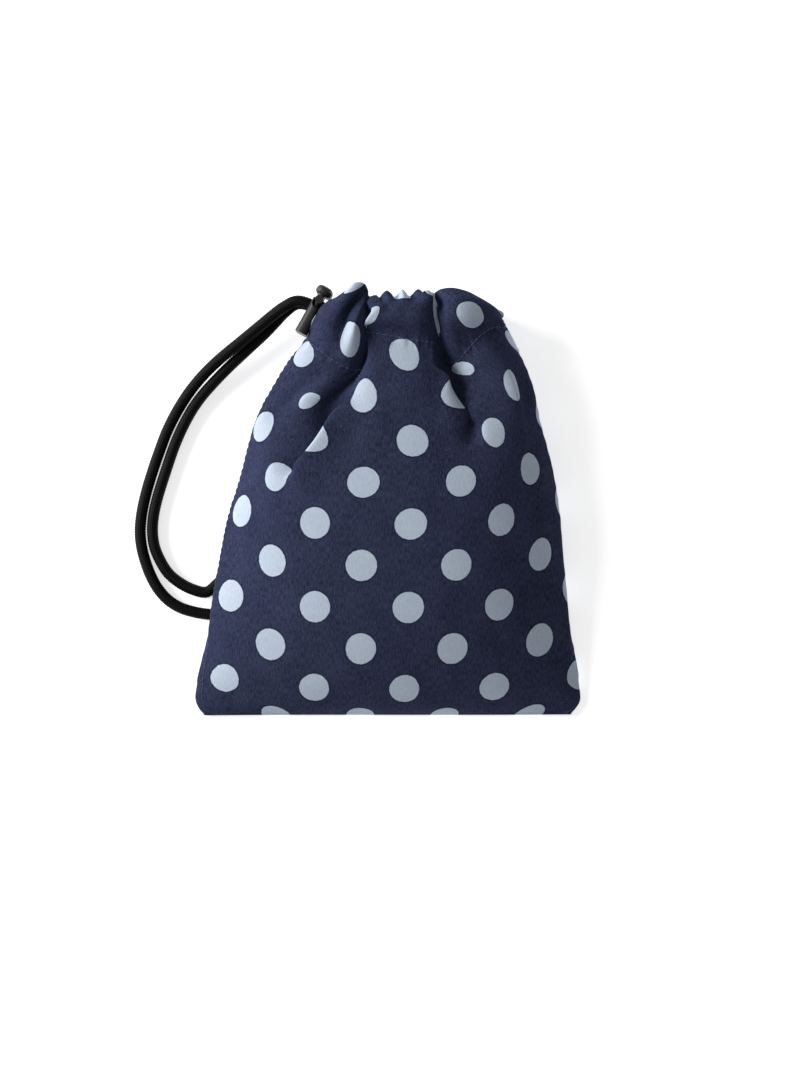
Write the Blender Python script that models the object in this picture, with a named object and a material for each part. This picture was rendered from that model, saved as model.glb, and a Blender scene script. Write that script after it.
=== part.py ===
# Drawstring pouch of dotted denim, lying on its back, with one braided cord and a cord lock.
# Metres. +X to the right of the pouch, +Y towards its mouth, +Z up from the surface it lies on.
import math

import bmesh
import bpy
import numpy as np
from mathutils import Matrix
from mathutils import Vector

MM = 0.001

# Driving sizes of the pouch
POUCH_WIDTH = 0.1552
POUCH_LENGTH = 0.1707
PANEL_HEIGHT = 0.1808
CASING_DEPTH = 0.0252
CROWN_HEIGHT = 0.0300
CLOTH = 0.0009
SEW_GAP = 0.0003
HEM_GAP = 0.0004
HEM_END_GAP = 0.0005

# Driving sizes of the cord
CORD_DIAMETER = 0.0045
CORD_GAP = 0.0003
CORD_ROOM = 0.0011
CORD_PLAY = 0.0003
TABLE_GAP = 0.00005

LOOP_LIFT_RIGHT = -0.0385
LOOP_LIFT_LOW = -0.0600
LOOP_LIFT_HIGH = -0.0090

# Driving sizes of the gathers at the mouth
BACK_FOLD = 0.0020
FRONT_FOLD = 0.0068
MOUTH_GAP = 0.0052
SLIT_BACK = 0.0070

# Driving sizes of the cord lock
LOCK_LENGTH = 0.0150
LOCK_THICK = 0.0050
LOCK_WALL = 0.0011
LOCK_X = -0.0285
LOCK_Y = 0.0761
LOCK_DROP = 0.0009
LOCK_TURN = 60.8
HOLE_WEB = 0.0023
HOLE_FROM_RIM = 0.0033
BUTTON_STAND = 0.0021
BUTTON_HEAD = 0.0036
BUTTON_HEAD_THICK = 0.0066
BUTTON_TRAVEL = 0.0018
LOCK_FIT = 0.0003
BOSS_DIAMETER = 0.0034
WIRE_DIAMETER = 0.0005
SPRING_COILS = 4

# Heights at the mouth, built up from the table layer by layer
CORD_R = CORD_DIAMETER / 2
BACK_CORD_Z = BACK_FOLD + CLOTH + CORD_GAP + CORD_R + CORD_PLAY
BACK_HEM_Z = BACK_CORD_Z + CORD_R + CORD_GAP + CORD_PLAY
FRONT_HEM_Z = BACK_HEM_Z + CLOTH + MOUTH_GAP
FRONT_CORD_Z = FRONT_HEM_Z + CLOTH + CORD_ROOM + CORD_GAP + CORD_R
FRONT_VALLEY_Z = FRONT_CORD_Z + CORD_R + CORD_GAP + CLOTH
SEAM_MOUTH_Z = 0.0120

# The lock hangs on the two strands, between the two casings
STRAND_PITCH = CORD_DIAMETER + 2.0 * CORD_GAP + HOLE_WEB
LOCK_Z = (FRONT_CORD_Z + BACK_CORD_Z) / 2 - LOCK_DROP

# Scales that carry the guide points, drawn for the nominal pouch, to the sizes above
WIDE = POUCH_WIDTH / 0.1552
LONG = POUCH_LENGTH / 0.1707
TALL = CROWN_HEIGHT / 0.0300

# Places on the cloth were read by eye from straight above, on a grid of 0.4 mm squares at table
# height. The grid's middle, the place that it stands for and the height of the eye turn such a
# reading into millimetres. The flat panel was laid out on the same grid.
GRID = 0.4
GRID_MIDDLE = (400.0, 533.0)
GRID_PLACE = (4.8, -12.8)
EYE_HEIGHT = 1007.0
FLAT_MIDDLE = 394.0
FLAT_WIDE = 408.0
FLAT_BOTTOM = 730.0

# Each cloth column at the mouth: where it lies on the flat panel, where it is seen across and down,
# its height in mm, and its fold (0 valley, 1 ridge).
STITCH = (
    (190, 307.5, 339.5, 12, 0.00), (207, 309, 342, 17, 0.10), (222.7, 312.5, 345.5, 21, 0.45),
    (238, 320, 352, 22.5, 0.65), (254, 332, 360, 23.5, 0.75), (269.6, 344, 367, 23.5, 0.70),
    (285, 355, 371, 21, 0.35), (306, 363, 366, 19, 0.10), (328, 365, 350, 19, 0.05),
    (345, 366.5, 337, 20, 0.15), (354, 367.5, 332, 23, 0.65), (363.3, 373, 332, 24, 0.85),
    (387, 389, 334, 25, 0.95), (410.2, 407, 338, 26, 1.00), (433, 424, 341.5, 25, 0.95),
    (448, 434, 344, 23, 0.70), (460, 438, 348, 20, 0.25), (475, 441, 354, 18, 0.00),
    (490, 448, 358, 18, 0.00), (503.9, 457, 356.5, 19, 0.15), (527, 468, 347.5, 22, 0.55),
    (550.8, 481, 335, 24, 0.80), (575, 497, 327, 20, 0.55), (598, 509, 331, 12, 0.00),
)
CASING = (
    (190, 315, 322.5, 12.5, 0.00), (207, 319.5, 321.5, 18, 0.25), (222.7, 325, 322, 22.5, 0.50),
    (238, 332.5, 326, 23.5, 0.65), (254, 342, 335, 23, 0.45), (269.6, 351, 339, 25, 0.75),
    (285, 360, 341, 23, 0.50), (306, 365, 337, 19, 0.05), (328, 366, 328, 19, 0.00),
    (345, 367, 321, 20, 0.10), (354, 368, 320, 23, 0.60), (363.3, 374, 320, 24.5, 0.80),
    (387, 388, 320, 25, 0.90), (410.2, 405, 320, 26, 1.00), (433, 420, 320.5, 26, 1.00),
    (448, 430, 321.5, 25, 0.80), (460, 437, 324, 21.5, 0.35), (475, 441, 329.5, 18.8, 0.00),
    (490, 445, 330, 20.5, 0.15), (503.9, 450.5, 327.5, 23, 0.50), (527, 460.5, 323, 26, 0.85),
    (550.8, 471.5, 321, 26.5, 0.90), (575, 488.5, 320.5, 22, 0.55), (598, 503, 325, 12.5, 0.00),
)
COLLAR = (
    (190, 325, 306.5, 13, 0.00), (207, 331, 304.5, 20, 0.35), (222.7, 337.5, 302, 24, 0.60),
    (238, 343.5, 301, 23, 0.55), (254, 348, 303, 18.8, 0.05), (269.6, 357, 303.5, 25, 0.80),
    (285, 364.5, 304.5, 22.5, 0.50), (306, 366.5, 306, 18.8, 0.00), (328, 367.3, 306, 18.8, 0.00),
    (345, 368.3, 306, 19, 0.05), (354, 369.5, 304.5, 23, 0.60), (363.3, 376, 304.5, 25, 0.85),
    (387, 388, 304.5, 25, 0.85), (410.2, 403, 304, 26, 1.00), (433, 418, 304, 26, 0.95),
    (448, 427, 303.5, 26, 0.90), (460, 435, 303, 25, 0.65), (475, 440, 305.5, 18.8, 0.00),
    (490, 444, 305, 21, 0.30), (503.9, 450, 304, 25.5, 0.75), (527, 463, 304, 27.5, 1.00),
    (550.8, 477, 307.5, 26, 0.85), (575, 491, 312, 21, 0.50), (598, 501.5, 319, 13, 0.00),
)
CREST = (
    (190, 339.5, 296.5, 13, 0.30), (207, 342.5, 293, 18, 0.50), (222.7, 348.5, 288, 20, 0.60),
    (238, 358, 284, 21, 0.70), (254, 365, 290, 20, 0.60), (269.6, 367.5, 295, 18, 0.40),
    (285, 368.5, 296, 17, 0.30), (306, 369.5, 296.5, 16.3, 0.20), (328, 370, 296.5, 16.3, 0.20),
    (345, 371.5, 296, 17, 0.30), (354, 373, 295.5, 18, 0.40), (363.3, 376, 295, 19, 0.40),
    (376, 381, 296, 18, 0.40), (387, 387, 291, 20, 0.60), (398, 393, 296, 18, 0.40),
    (410.2, 401.5, 290, 20, 0.60), (424, 409.5, 295.5, 18, 0.40), (436, 415.5, 292, 20, 0.60),
    (457, 426.5, 291, 20, 0.60), (466, 433.5, 292, 18, 0.40), (475, 438, 295.5, 17, 0.20),
    (490, 442, 293.5, 18, 0.40), (503.9, 448.5, 289.5, 20, 0.60), (527, 466, 291.5, 20, 0.60),
    (550.8, 482, 298.5, 20, 0.55), (575, 495, 307.5, 17, 0.40), (598, 503, 316.5, 13, 0.30),
)

# The side seams and the middle of the front from the bottom seam up: down the flat panel, then
# left seam across, down and height in mm, right seam the same, and middle down and height.
BODY = (
    (730, 204, 715.5, 1.6, 570.5, 714.5, 1.6, 715, 1.6),
    (712, 198, 706, 2.0, 578.5, 703.5, 2.3, 706.5, 8.7),
    (689, 197, 689, 2.5, 579, 683.5, 3.0, 689, 15.0),
    (648, 202, 648, 4.9, 575.5, 642, 4.0, 649.5, 22.5),
    (607, 207, 607, 6.0, 571.5, 597, 5.0, 608.7, 26.8),
    (565, 215, 564, 6.6, 567, 556, 6.5, 566, 29.0),
    (524, 224, 522, 7.3, 562.5, 510, 7.5, 525, 29.9),
    (482, 237, 481, 8.5, 555, 467, 9.0, 482.5, 29.7),
)
NECK_SEAMS = (
    (441, 250, 437, 10.0, 544, 424, 10.5),
    (400, 265.5, 398, 11.0, 535.5, 385, 11.5),
    (365, 286.5, 363, 11.7, 523, 355, 11.8),
)

SPLIT_COLUMNS = 2
BACK_COLUMNS = 34


def smooth(x):
    x = np.clip(x, 0.0, 1.0)
    return x * x * (3.0 - 2.0 * x)


def hermite(levels, rows, at):
    """A curve through rows (one row of points per level) with tangents from the neighbours."""
    levels = np.asarray(levels, float)
    rows = np.asarray(rows, float)
    step = np.diff(levels)
    slope = np.diff(rows, axis=0) / step.reshape((-1,) + (1,) * (rows.ndim - 1))
    tangent = np.empty_like(rows)
    tangent[0] = slope[0]
    tangent[-1] = slope[-1]
    before = step[:-1].reshape((-1,) + (1,) * (rows.ndim - 1))
    after = step[1:].reshape((-1,) + (1,) * (rows.ndim - 1))
    tangent[1:-1] = (slope[:-1] * after + slope[1:] * before) / (before + after)
    at = np.clip(np.asarray(at, float), levels[0], levels[-1])
    index = np.clip(np.searchsorted(levels, at, side="right") - 1, 0, len(levels) - 2)
    width = step[index]
    t = (at - levels[index]) / width
    shape = (-1,) + (1,) * (rows.ndim - 1)
    t = t.reshape(shape)
    width = width.reshape(shape)
    p0 = rows[index]
    p1 = rows[index + 1]
    m0 = tangent[index] * width
    m1 = tangent[index + 1] * width
    t2 = t * t
    t3 = t2 * t
    return (2 * t3 - 3 * t2 + 1) * p0 + (t3 - 2 * t2 + t) * m0 + (3 * t2 - 2 * t3) * p1 + (t3 - t2) * m1


def placed(across, down, high):
    """Millimetres across and up for a reading on the grid, at its own height."""
    square = GRID * (1.0 - high / EYE_HEIGHT)
    x = GRID_PLACE[0] + (across - GRID_MIDDLE[0]) * square
    y = GRID_PLACE[1] - (down - GRID_MIDDLE[1]) * square
    return x, y


def curve_at(guide, share):
    table = np.asarray(guide, float)
    x, y = placed(table[:, 1], table[:, 2], table[:, 3])
    flat = (table[:, 0] - FLAT_MIDDLE) / FLAT_WIDE
    return hermite(flat, np.stack([x, y, table[:, 4]], axis=1), share)


def seam_places(readings):
    """Level on the flat panel, then the place of each seam and of the middle, in millimetres."""
    table = np.asarray(readings, float)
    level = (FLAT_BOTTOM - table[:, 0]) * GRID
    lx, ly = placed(table[:, 1], table[:, 2], table[:, 3])
    rx, ry = placed(table[:, 4], table[:, 5], table[:, 6])
    parts = [level, lx, ly, table[:, 3], rx, ry, table[:, 6]]
    if table.shape[1] > 7:
        parts += [placed(GRID_MIDDLE[0], table[:, 7], table[:, 8])[1], table[:, 8]]
    return [tuple(row) for row in np.stack(parts, axis=1)]


def scaled(points):
    """Guide points in millimetres to metres of this pouch."""
    return points * np.array([WIDE, LONG, TALL]) * MM


def side_round(share, left, right):
    """0 at the closed side edges, rising round and steep to 1 within the given shares."""
    rise = np.ones_like(share)
    if left:
        s = np.clip((share + 0.5) / left, 0.0, 1.0)
        rise = rise * np.sqrt(1.0 - (1.0 - s) ** 2)
    if right:
        s = np.clip((0.5 - share) / right, 0.0, 1.0)
        rise = rise * np.sqrt(1.0 - (1.0 - s) ** 2)
    return rise


def arch_row(seam, share):
    """One level of the puffed body: an arch from side seam to side seam, even along the cloth."""
    _, lx, ly, lz, rx, ry, rz, my, mz = seam
    dense = np.linspace(-1.0, 1.0, 401)
    body = (1.0 - np.abs(dense) ** 2.3) ** 0.72
    half = (dense + 1.0) / 2.0
    x = lx + (rx - lx) * half
    edge = lz + (rz - lz) * half
    z = edge + (mz - edge) * body
    length = np.concatenate([[0.0], np.cumsum(np.hypot(np.diff(x), np.diff(z)))])
    place = np.interp(share + 0.5, length / length[-1], dense)
    half = (place + 1.0) / 2.0
    x = lx + (rx - lx) * half
    edge = lz + (rz - lz) * half
    z = edge + (mz - edge) * (1.0 - np.abs(place) ** 2.3) ** 0.72
    middle = 1.0 - place ** 2
    y = (ly + (ry - ly) * half) * (1.0 - middle) + my * middle
    return scaled(np.stack([x, y, z], axis=1))


def neck_row(level, low, high, low_level, high_level, seam, share):
    """A level between the smooth body and the gathered stitch line."""
    t = (level - low_level) / (high_level - low_level)
    across = smooth(t) * 0.55 + t * 0.45
    row = np.empty_like(low)
    row[:, 0] = low[:, 0] + (high[:, 0] - low[:, 0]) * across
    row[:, 1] = low[:, 1] + (high[:, 1] - low[:, 1]) * t
    row[:, 2] = low[:, 2] + (high[:, 2] - low[:, 2]) * across
    _, lx, ly, lz, rx, ry, rz = seam
    ends = scaled(np.array([[lx, ly, lz], [rx, ry, rz]]))
    near_left = smooth(1.0 - (share + 0.5) / 0.16)[:, None]
    near_right = smooth(1.0 - (0.5 - share) / 0.16)[:, None]
    row = row + (ends[0] - row[0]) * near_left + (ends[1] - row[-1]) * near_right
    return row


def crease(points, share, level, path, width, depth):
    """Presses a soft valley (or lifts a ridge) along a path drawn on the flat cloth."""
    route = np.asarray(path, float)
    along = np.clip(level, route[0, 1], route[-1, 1])
    centre = np.interp(along, route[:, 1], route[:, 0])
    span = (level - route[0, 1]) / (route[-1, 1] - route[0, 1])
    fade = np.clip(np.sin(math.pi * np.clip(span, 0.0, 1.0)), 0.0, 1.0) ** 0.6
    bump = np.exp(-((share - centre) / width) ** 2)
    points[..., 2] += depth * MM * fade * bump


def front_levels():
    top = PANEL_HEIGHT / MM
    stitch = (PANEL_HEIGHT - CASING_DEPTH) / MM
    return stitch, stitch + 10.0, stitch + 17.6, top


def front_rows(share):
    """The control rows of the front panel, from the bottom seam to the folded crest."""
    stitch_level, casing_level, collar_level, crest_level = front_levels()
    body = seam_places(BODY)
    levels = [seam[0] for seam in body]
    rows = [arch_row(seam, share) for seam in body]
    floor = SEAM_MOUTH_Z
    stitch = curve_at(STITCH, share)
    fold = 0.0178 * TALL + stitch[:, 2] * FRONT_FOLD * 1.05
    closed = side_round(share, 0.15, 0.15)
    stitch = np.stack([stitch[:, 0] * WIDE * MM, stitch[:, 1] * LONG * MM,
                       floor + (fold - floor) * closed], axis=1)
    for seam in seam_places(NECK_SEAMS):
        levels.append(seam[0])
        rows.append(neck_row(seam[0], rows[7], stitch, body[-1][0], stitch_level, seam, share))
    levels.append(stitch_level)
    rows.append(stitch)
    closed = side_round(share, 0.0, 0.17)
    for guide, level in ((CASING, casing_level), (COLLAR, collar_level)):
        place = curve_at(guide, share)
        fold = FRONT_VALLEY_Z + np.clip(place[:, 2], 0.0, 1.05) * FRONT_FOLD
        levels.append(level)
        rows.append(np.stack([place[:, 0] * WIDE * MM, place[:, 1] * LONG * MM,
                              floor + (fold - floor) * closed], axis=1))
    place = curve_at(CREST, share)
    low = FRONT_HEM_Z + CLOTH
    high = FRONT_VALLEY_Z + FRONT_FOLD
    fold = low + (high - low) * (0.25 + 0.75 * place[:, 2])
    levels.append(crest_level)
    rows.append(np.stack([place[:, 0] * WIDE * MM, place[:, 1] * LONG * MM,
                          floor + (fold - floor) * closed], axis=1))
    return levels, rows


def grid_normals(grid):
    across = np.gradient(grid, axis=1)
    along = np.gradient(grid, axis=0)
    normal = np.cross(across, along)
    size = np.linalg.norm(normal, axis=2, keepdims=True)
    return normal / np.maximum(size, 1e-12)


def soften(field, times):
    for _ in range(times):
        padded = np.pad(field, ((1, 1), (1, 1), (0, 0)), mode="edge")
        field = (padded[1:-1, 1:-1] * 2 + padded[:-2, 1:-1] + padded[2:, 1:-1]
                 + padded[1:-1, :-2] + padded[1:-1, 2:]) / 6.0
    return field / np.maximum(np.linalg.norm(field, axis=2, keepdims=True), 1e-12)


def columns(guide, splits):
    share = (np.array([row[0] for row in guide]) - FLAT_MIDDLE) / FLAT_WIDE
    parts = [np.linspace(a, b, splits, endpoint=False) for a, b in zip(share[:-1], share[1:])]
    fine = np.concatenate(parts + [share[-1:]])
    edge = np.array([-0.494, -0.480, 0.480, 0.494])
    return np.unique(np.round(np.concatenate([fine, edge]), 4))


def hem_curve(crest, middle, pressed, steps, span):
    """From the crest down behind the cord to the stitch line, row by row."""
    spots = np.array([0.0, 0.26, 0.44, 0.62, 1.0]) * span
    return hermite(spots, [crest] + middle + [pressed], np.linspace(0.0, span, steps + 1))[1:]


def unit(field):
    return field / np.maximum(np.linalg.norm(field, axis=-1, keepdims=True), 1e-12)


def edge_inward(share, level):
    """Level directions that point into the pouch near the side seams and the bottom seam."""
    left = smooth(1.0 - (share + 0.5) / 0.045)[None, :]
    right = smooth(1.0 - (0.5 - share) / 0.045)[None, :]
    bottom = smooth(1.0 - level / 5.0)[:, None]
    x = left - right + bottom * 0.0
    y = bottom + x * 0.0
    flat = np.stack([x, y, np.zeros_like(x)], axis=2)
    weight = np.clip(np.maximum(np.abs(x), y), 0.0, 1.0)
    return unit(flat), weight[..., None]


def inward_field(outer, share, level, stitch_row, sign):
    """Which way the cloth's thickness goes from its outer face, at every grid point."""
    normal = soften(grid_normals(outer), 1) * -sign
    flat, weight = edge_inward(share, level)
    rows = np.arange(outer.shape[0])
    above = smooth((rows - stitch_row) / 2.0)[:, None, None]
    at_left = (share < 0.0)[None, :, None]
    weight = np.where(at_left, weight * (1.0 - above), weight)
    field = unit(normal * (1.0 - weight) + flat * weight)
    field[-1] = -field[stitch_row]
    return field


def row_levels(steps):
    body = np.array([0.0, 2.6, 6.5, 12.0, 19.0, 28.0, 39.0, 51.0, 64.0, 78.0, 92.0, 105.0, 117.0,
                     127.0, 136.0, 144.0, 150.5])
    stitch_level, casing_level, collar_level, crest_level = front_levels()
    return np.concatenate([body * stitch_level / 155.6, np.linspace(stitch_level, crest_level, steps + 1)])


def front_grid(share, steps):
    """The outer face of the front panel, over the crest and down the hem to the stitch line."""
    levels, rows = front_rows(share)
    stitch_level, casing_level, collar_level, crest_level = front_levels()
    fine = row_levels(steps)
    stitch_row = len(fine) - steps - 1
    face = hermite(levels, rows, fine)
    across = share[None, :]
    up = fine[:, None]
    crease(face, across, up, ((-0.235, 108.0), (-0.225, 152.0)), 0.026, -2.4)
    crease(face, across, up, ((0.20, 112.0), (0.225, 158.0)), 0.030, -3.2)
    crease(face, across, up, ((0.135, 118.0), (0.135, 156.0)), 0.020, 1.4)
    crease(face, across, up, ((-0.40, 118.0), (-0.34, 150.0)), 0.030, -1.6)
    normal = soften(grid_normals(face), 1)
    flat, weight = edge_inward(share, fine)
    stitch_in = unit(-normal[stitch_row] * (1.0 - weight[stitch_row]) + flat[stitch_row] * weight[stitch_row])
    pressed = face[stitch_row] + stitch_in * (2.0 * CLOTH + HEM_GAP)
    crest = face[-1]
    closed = side_round(share, 0.0, 0.17)[:, None]
    slit = smooth(1.0 - (share + 0.5) / 0.22) * SLIT_BACK
    middle = []
    for lift, blend in ((0.0040, 0.2), (0.0, 0.5), (-0.0040, 0.8)):
        x = crest[:, 0] * (1.0 - blend) + pressed[:, 0] * blend + slit
        row = np.stack([x, front_cord_y(share) + lift, np.full_like(x, FRONT_HEM_Z)], axis=1)
        partner = hermite(levels, rows, [stitch_level + (0.5 + lift / 0.0168) * CASING_DEPTH / MM])[0]
        partner = partner + flat[stitch_row] * (2.0 * CLOTH + HEM_END_GAP)
        middle.append(partner + (row - partner) * closed)
    down = hem_curve(crest, middle, pressed, steps, CASING_DEPTH / MM)
    grid = np.concatenate([face, down], axis=0)
    level = np.concatenate([fine, np.full(steps, crest_level)])
    return grid, inward_field(grid, share, level, stitch_row, 1.0), stitch_row


def front_cord_y(share):
    """How far up the cord runs in the casing, across the panel."""
    place = (-0.5, -0.3, -0.1, 0.16, 0.27, 0.36, 0.44, 0.5)
    high = (73.4, 72.9, 73.3, 73.2, 72.7, 72.6, 72.0, 70.9)
    return np.interp(share, place, high) * LONG * MM


def back_row(seam, share, gather, fold):
    """One level of the back: flat on the table, rounded up to the side seams, waved at the mouth."""
    lx, ly, lz, rx, ry, rz, my = seam
    half = share + 0.5
    x = lx + (rx - lx) * half
    wave = 0.5 + 0.5 * np.sin(2.0 * math.pi * (5.0 * share + 0.6 * np.sin(4.0 * share)) + 0.7)
    y = (ly + (ry - ly) * half) * (2.0 * share) ** 2 + my * (1.0 - (2.0 * share) ** 2)
    edge = np.abs(2.0 * share) ** 7
    z = (lz + (rz - lz) * half) * edge + wave * fold / MM / TALL * gather * (1.0 - edge)
    return scaled(np.stack([x, y, z], axis=1))


def lifted_by_loop(x, y):
    """How high the cord that lies under the pouch lifts the back."""
    lift = CORD_DIAMETER + 2.0 * TABLE_GAP + CORD_GAP
    beside = smooth((LOOP_LIFT_RIGHT * WIDE - x) / 0.010)
    below = smooth((y - LOOP_LIFT_LOW * LONG) / 0.009)
    above = smooth((LOOP_LIFT_HIGH * LONG - y) / 0.009)
    return lift * beside * below * above


def back_grid(share, steps):
    """The outer (lower) face of the back panel, over its crest and down its hem."""
    stitch_level, casing_level, collar_level, crest_level = front_levels()
    levels = []
    rows = []
    drop = SEW_GAP / MM / TALL
    for level, lx, ly, lz, rx, ry, rz, my, _ in seam_places(BODY):
        levels.append(level)
        rows.append(back_row((lx, ly, lz - drop, rx, ry, rz - drop, my), share, 0.0, BACK_FOLD))
    rows[0][:, 2] = (BODY[0][3] - drop) * TALL * MM
    rows[1][:, 2] = rows[1][:, 2] * 0.7
    drop = drop * 4.0
    gathers = (0.15, 0.4, 0.7)
    middles = (24.0, 40.5, 53.5)
    for (level, lx, ly, lz, rx, ry, rz), gather, my in zip(seam_places(NECK_SEAMS), gathers, middles):
        levels.append(level)
        rows.append(back_row((lx, ly, lz - drop, rx, ry, rz - drop, my), share, gather, BACK_FOLD))
    mouth = SEAM_MOUTH_Z / MM / TALL - drop
    levels.append(stitch_level)
    rows.append(back_row((-31.8, 63.6, mouth, 47.9, 67.0, mouth, 61.5), share, 1.0, BACK_FOLD))
    open_left = BACK_FOLD / MM / TALL
    for level, lx, ly, rx, ry, my in ((casing_level, -26.8, 69.9, 45.9, 69.4, 69.9),
                                      (collar_level, -22.4, 76.4, 45.1, 71.8, 76.6)):
        levels.append(level)
        rows.append(back_row((lx, ly, open_left, rx, ry, mouth, my), share, 1.0, BACK_FOLD))
    crest = back_row((-18.5, 80.2, open_left, 45.3, 73.0, mouth, 80.6), share, 0.0, BACK_FOLD)
    closed = side_round(share, 0.0, 0.17)
    crest[:, 2] = (mouth * TALL * MM) * (1.0 - closed) + (BACK_HEM_Z * 0.45) * closed
    levels.append(crest_level)
    rows.append(crest)
    fine = np.sort(np.concatenate([row_levels(steps), [45.0, 57.5, 71.0]]))
    stitch_row = len(fine) - steps - 1
    face = hermite(levels, rows, fine)
    face[..., 2] = np.maximum(face[..., 2], lifted_by_loop(face[..., 0], face[..., 1]))
    normal = soften(grid_normals(face), 1)
    flat, weight = edge_inward(share, fine)
    stitch_in = unit(normal[stitch_row] * (1.0 - weight[stitch_row]) + flat[stitch_row] * weight[stitch_row])
    pressed = face[stitch_row] + stitch_in * (2.0 * CLOTH + HEM_GAP)
    ring = closed[:, None]
    slit = smooth(1.0 - (share + 0.5) / 0.22) * SLIT_BACK
    middle = []
    for lift, blend in ((0.0040, 0.2), (0.0, 0.5), (-0.0040, 0.8)):
        x = crest[:, 0] * (1.0 - blend) + pressed[:, 0] * blend + slit
        row = np.stack([x, front_cord_y(share) + lift, np.full_like(x, BACK_HEM_Z + CLOTH)], axis=1)
        partner = hermite(levels, rows, [stitch_level + (0.5 + lift / 0.0168) * CASING_DEPTH / MM])[0]
        partner = partner + flat[stitch_row] * (2.0 * CLOTH + HEM_END_GAP)
        middle.append(partner + (row - partner) * ring)
    down = hem_curve(crest, middle, pressed, steps, CASING_DEPTH / MM)
    grid = np.concatenate([face, down], axis=0)
    level = np.concatenate([fine, np.full(steps, crest_level)])
    return grid, inward_field(grid, share, level, stitch_row, -1.0), stitch_row


def panel_solid(name, outer, inward, stitch_row, colour):
    """One closed cloth solid: outer face, inner face, casing tunnel, hem end and side ends."""
    total, wide, _ = outer.shape
    last = total - 1
    depth = outer + inward * CLOTH
    inner_top = depth[stitch_row - 1] * 0.45 + depth[stitch_row] * 0.55
    inner = np.concatenate([depth[:stitch_row], inner_top[None]], axis=0)
    tunnel = depth[stitch_row:].copy()
    tunnel[0] = depth[stitch_row] * 0.6 + depth[stitch_row + 1] * 0.4
    tunnel[-1] = depth[last] * 0.6 + depth[last - 1] * 0.4
    first_inner = total * wide
    first_tunnel = first_inner + (stitch_row + 1) * wide - stitch_row * wide
    verts = np.concatenate([outer.reshape(-1, 3), inner.reshape(-1, 3), tunnel.reshape(-1, 3)])

    def skin(r, c):
        return r * wide + c

    def lining(r, c):
        return first_inner + r * wide + c

    def bore(r, c):
        return first_tunnel + r * wide + c

    faces = []
    for c in range(wide - 1):
        d = c + 1
        for r in range(last):
            faces.append((skin(r, c), skin(r, d), skin(r + 1, d), skin(r + 1, c)))
        for r in range(stitch_row):
            faces.append((lining(r, c), lining(r + 1, c), lining(r + 1, d), lining(r, d)))
        for r in range(stitch_row, last):
            faces.append((bore(r, c), bore(r + 1, c), bore(r + 1, d), bore(r, d)))
        faces.append((bore(last, c), bore(stitch_row, c), bore(stitch_row, d), bore(last, d)))
        faces.append((skin(0, c), lining(0, c), lining(0, d), skin(0, d)))
        faces.append((skin(last, c), skin(last, d), lining(stitch_row, d), lining(stitch_row, c)))
    for c in (0, wide - 1):
        ends = []
        for r in range(stitch_row):
            ends.append((skin(r, c), skin(r + 1, c), lining(r + 1, c), lining(r, c)))
        ends.append((skin(stitch_row, c), bore(stitch_row, c), lining(stitch_row, c)))
        ends.append((bore(stitch_row, c), bore(last, c), lining(stitch_row, c)))
        ends.append((bore(last, c), skin(last, c), lining(stitch_row, c)))
        for r in range(stitch_row, last):
            ends.append((skin(r, c), skin(r + 1, c), bore(r + 1, c), bore(r, c)))
        if c == 0:
            ends = [face[::-1] for face in ends]
        faces.extend(ends)
    return solid_object(name, verts, faces, colour)


def solid_object(name, verts, faces, colour):
    mesh = bpy.data.meshes.new(name)
    mesh.from_pydata([tuple(float(a) for a in v) for v in verts], [], faces)
    mesh.update()
    work = bmesh.new()
    work.from_mesh(mesh)
    bmesh.ops.recalc_face_normals(work, faces=work.faces)
    if work.calc_volume(signed=True) < 0.0:
        bmesh.ops.reverse_faces(work, faces=work.faces)
    work.to_mesh(mesh)
    work.free()
    for face in mesh.polygons:
        face.use_smooth = True
    mesh.materials.append(colour)
    obj = bpy.data.objects.new(name, mesh)
    bpy.context.scene.collection.objects.link(obj)
    return obj


def material(name, hex_colour, rough, metal):
    linear = []
    for k in (0, 2, 4):
        c = int(hex_colour[k:k + 2], 16) / 255.0
        linear.append(c / 12.92 if c <= 0.04045 else ((c + 0.055) / 1.055) ** 2.4)
    mat = bpy.data.materials.new(name)
    mat.use_nodes = True
    shader = mat.node_tree.nodes["Principled BSDF"]
    shader.inputs["Base Color"].default_value = (*linear, 1.0)
    shader.inputs["Roughness"].default_value = rough
    shader.inputs["Metallic"].default_value = metal
    mat.diffuse_color = (*linear, 1.0)
    return mat


def tube(name, points, diameter, sides, colour):
    """A round cord along its route, with closed ends."""
    data = bpy.data.curves.new(name, "CURVE")
    data.dimensions = "3D"
    data.bevel_depth = diameter / 2
    data.bevel_resolution = sides
    data.use_fill_caps = True
    line = data.splines.new("POLY")
    line.points.add(len(points) - 1)
    for spot, place in zip(line.points, points):
        spot.co = (float(place[0]), float(place[1]), float(place[2]), 1.0)
    data.materials.append(colour)
    obj = bpy.data.objects.new(name, data)
    bpy.context.scene.collection.objects.link(obj)
    return obj


def even_route(route, spacing):
    """A smooth curve through the route's own points, read at even steps along its length."""
    route = np.asarray(route, float)
    chord = np.concatenate([[0.0], np.cumsum(np.linalg.norm(np.diff(route, axis=0), axis=1))])
    dense = hermite(chord, route, np.linspace(0.0, chord[-1], 800))
    length = np.concatenate([[0.0], np.cumsum(np.linalg.norm(np.diff(dense, axis=0), axis=1))])
    count = max(int(round(length[-1] / spacing)), 2)
    even = np.linspace(0.0, length[-1], count + 1)
    return np.stack([np.interp(even, length, dense[:, k]) for k in range(3)], axis=1)


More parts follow.
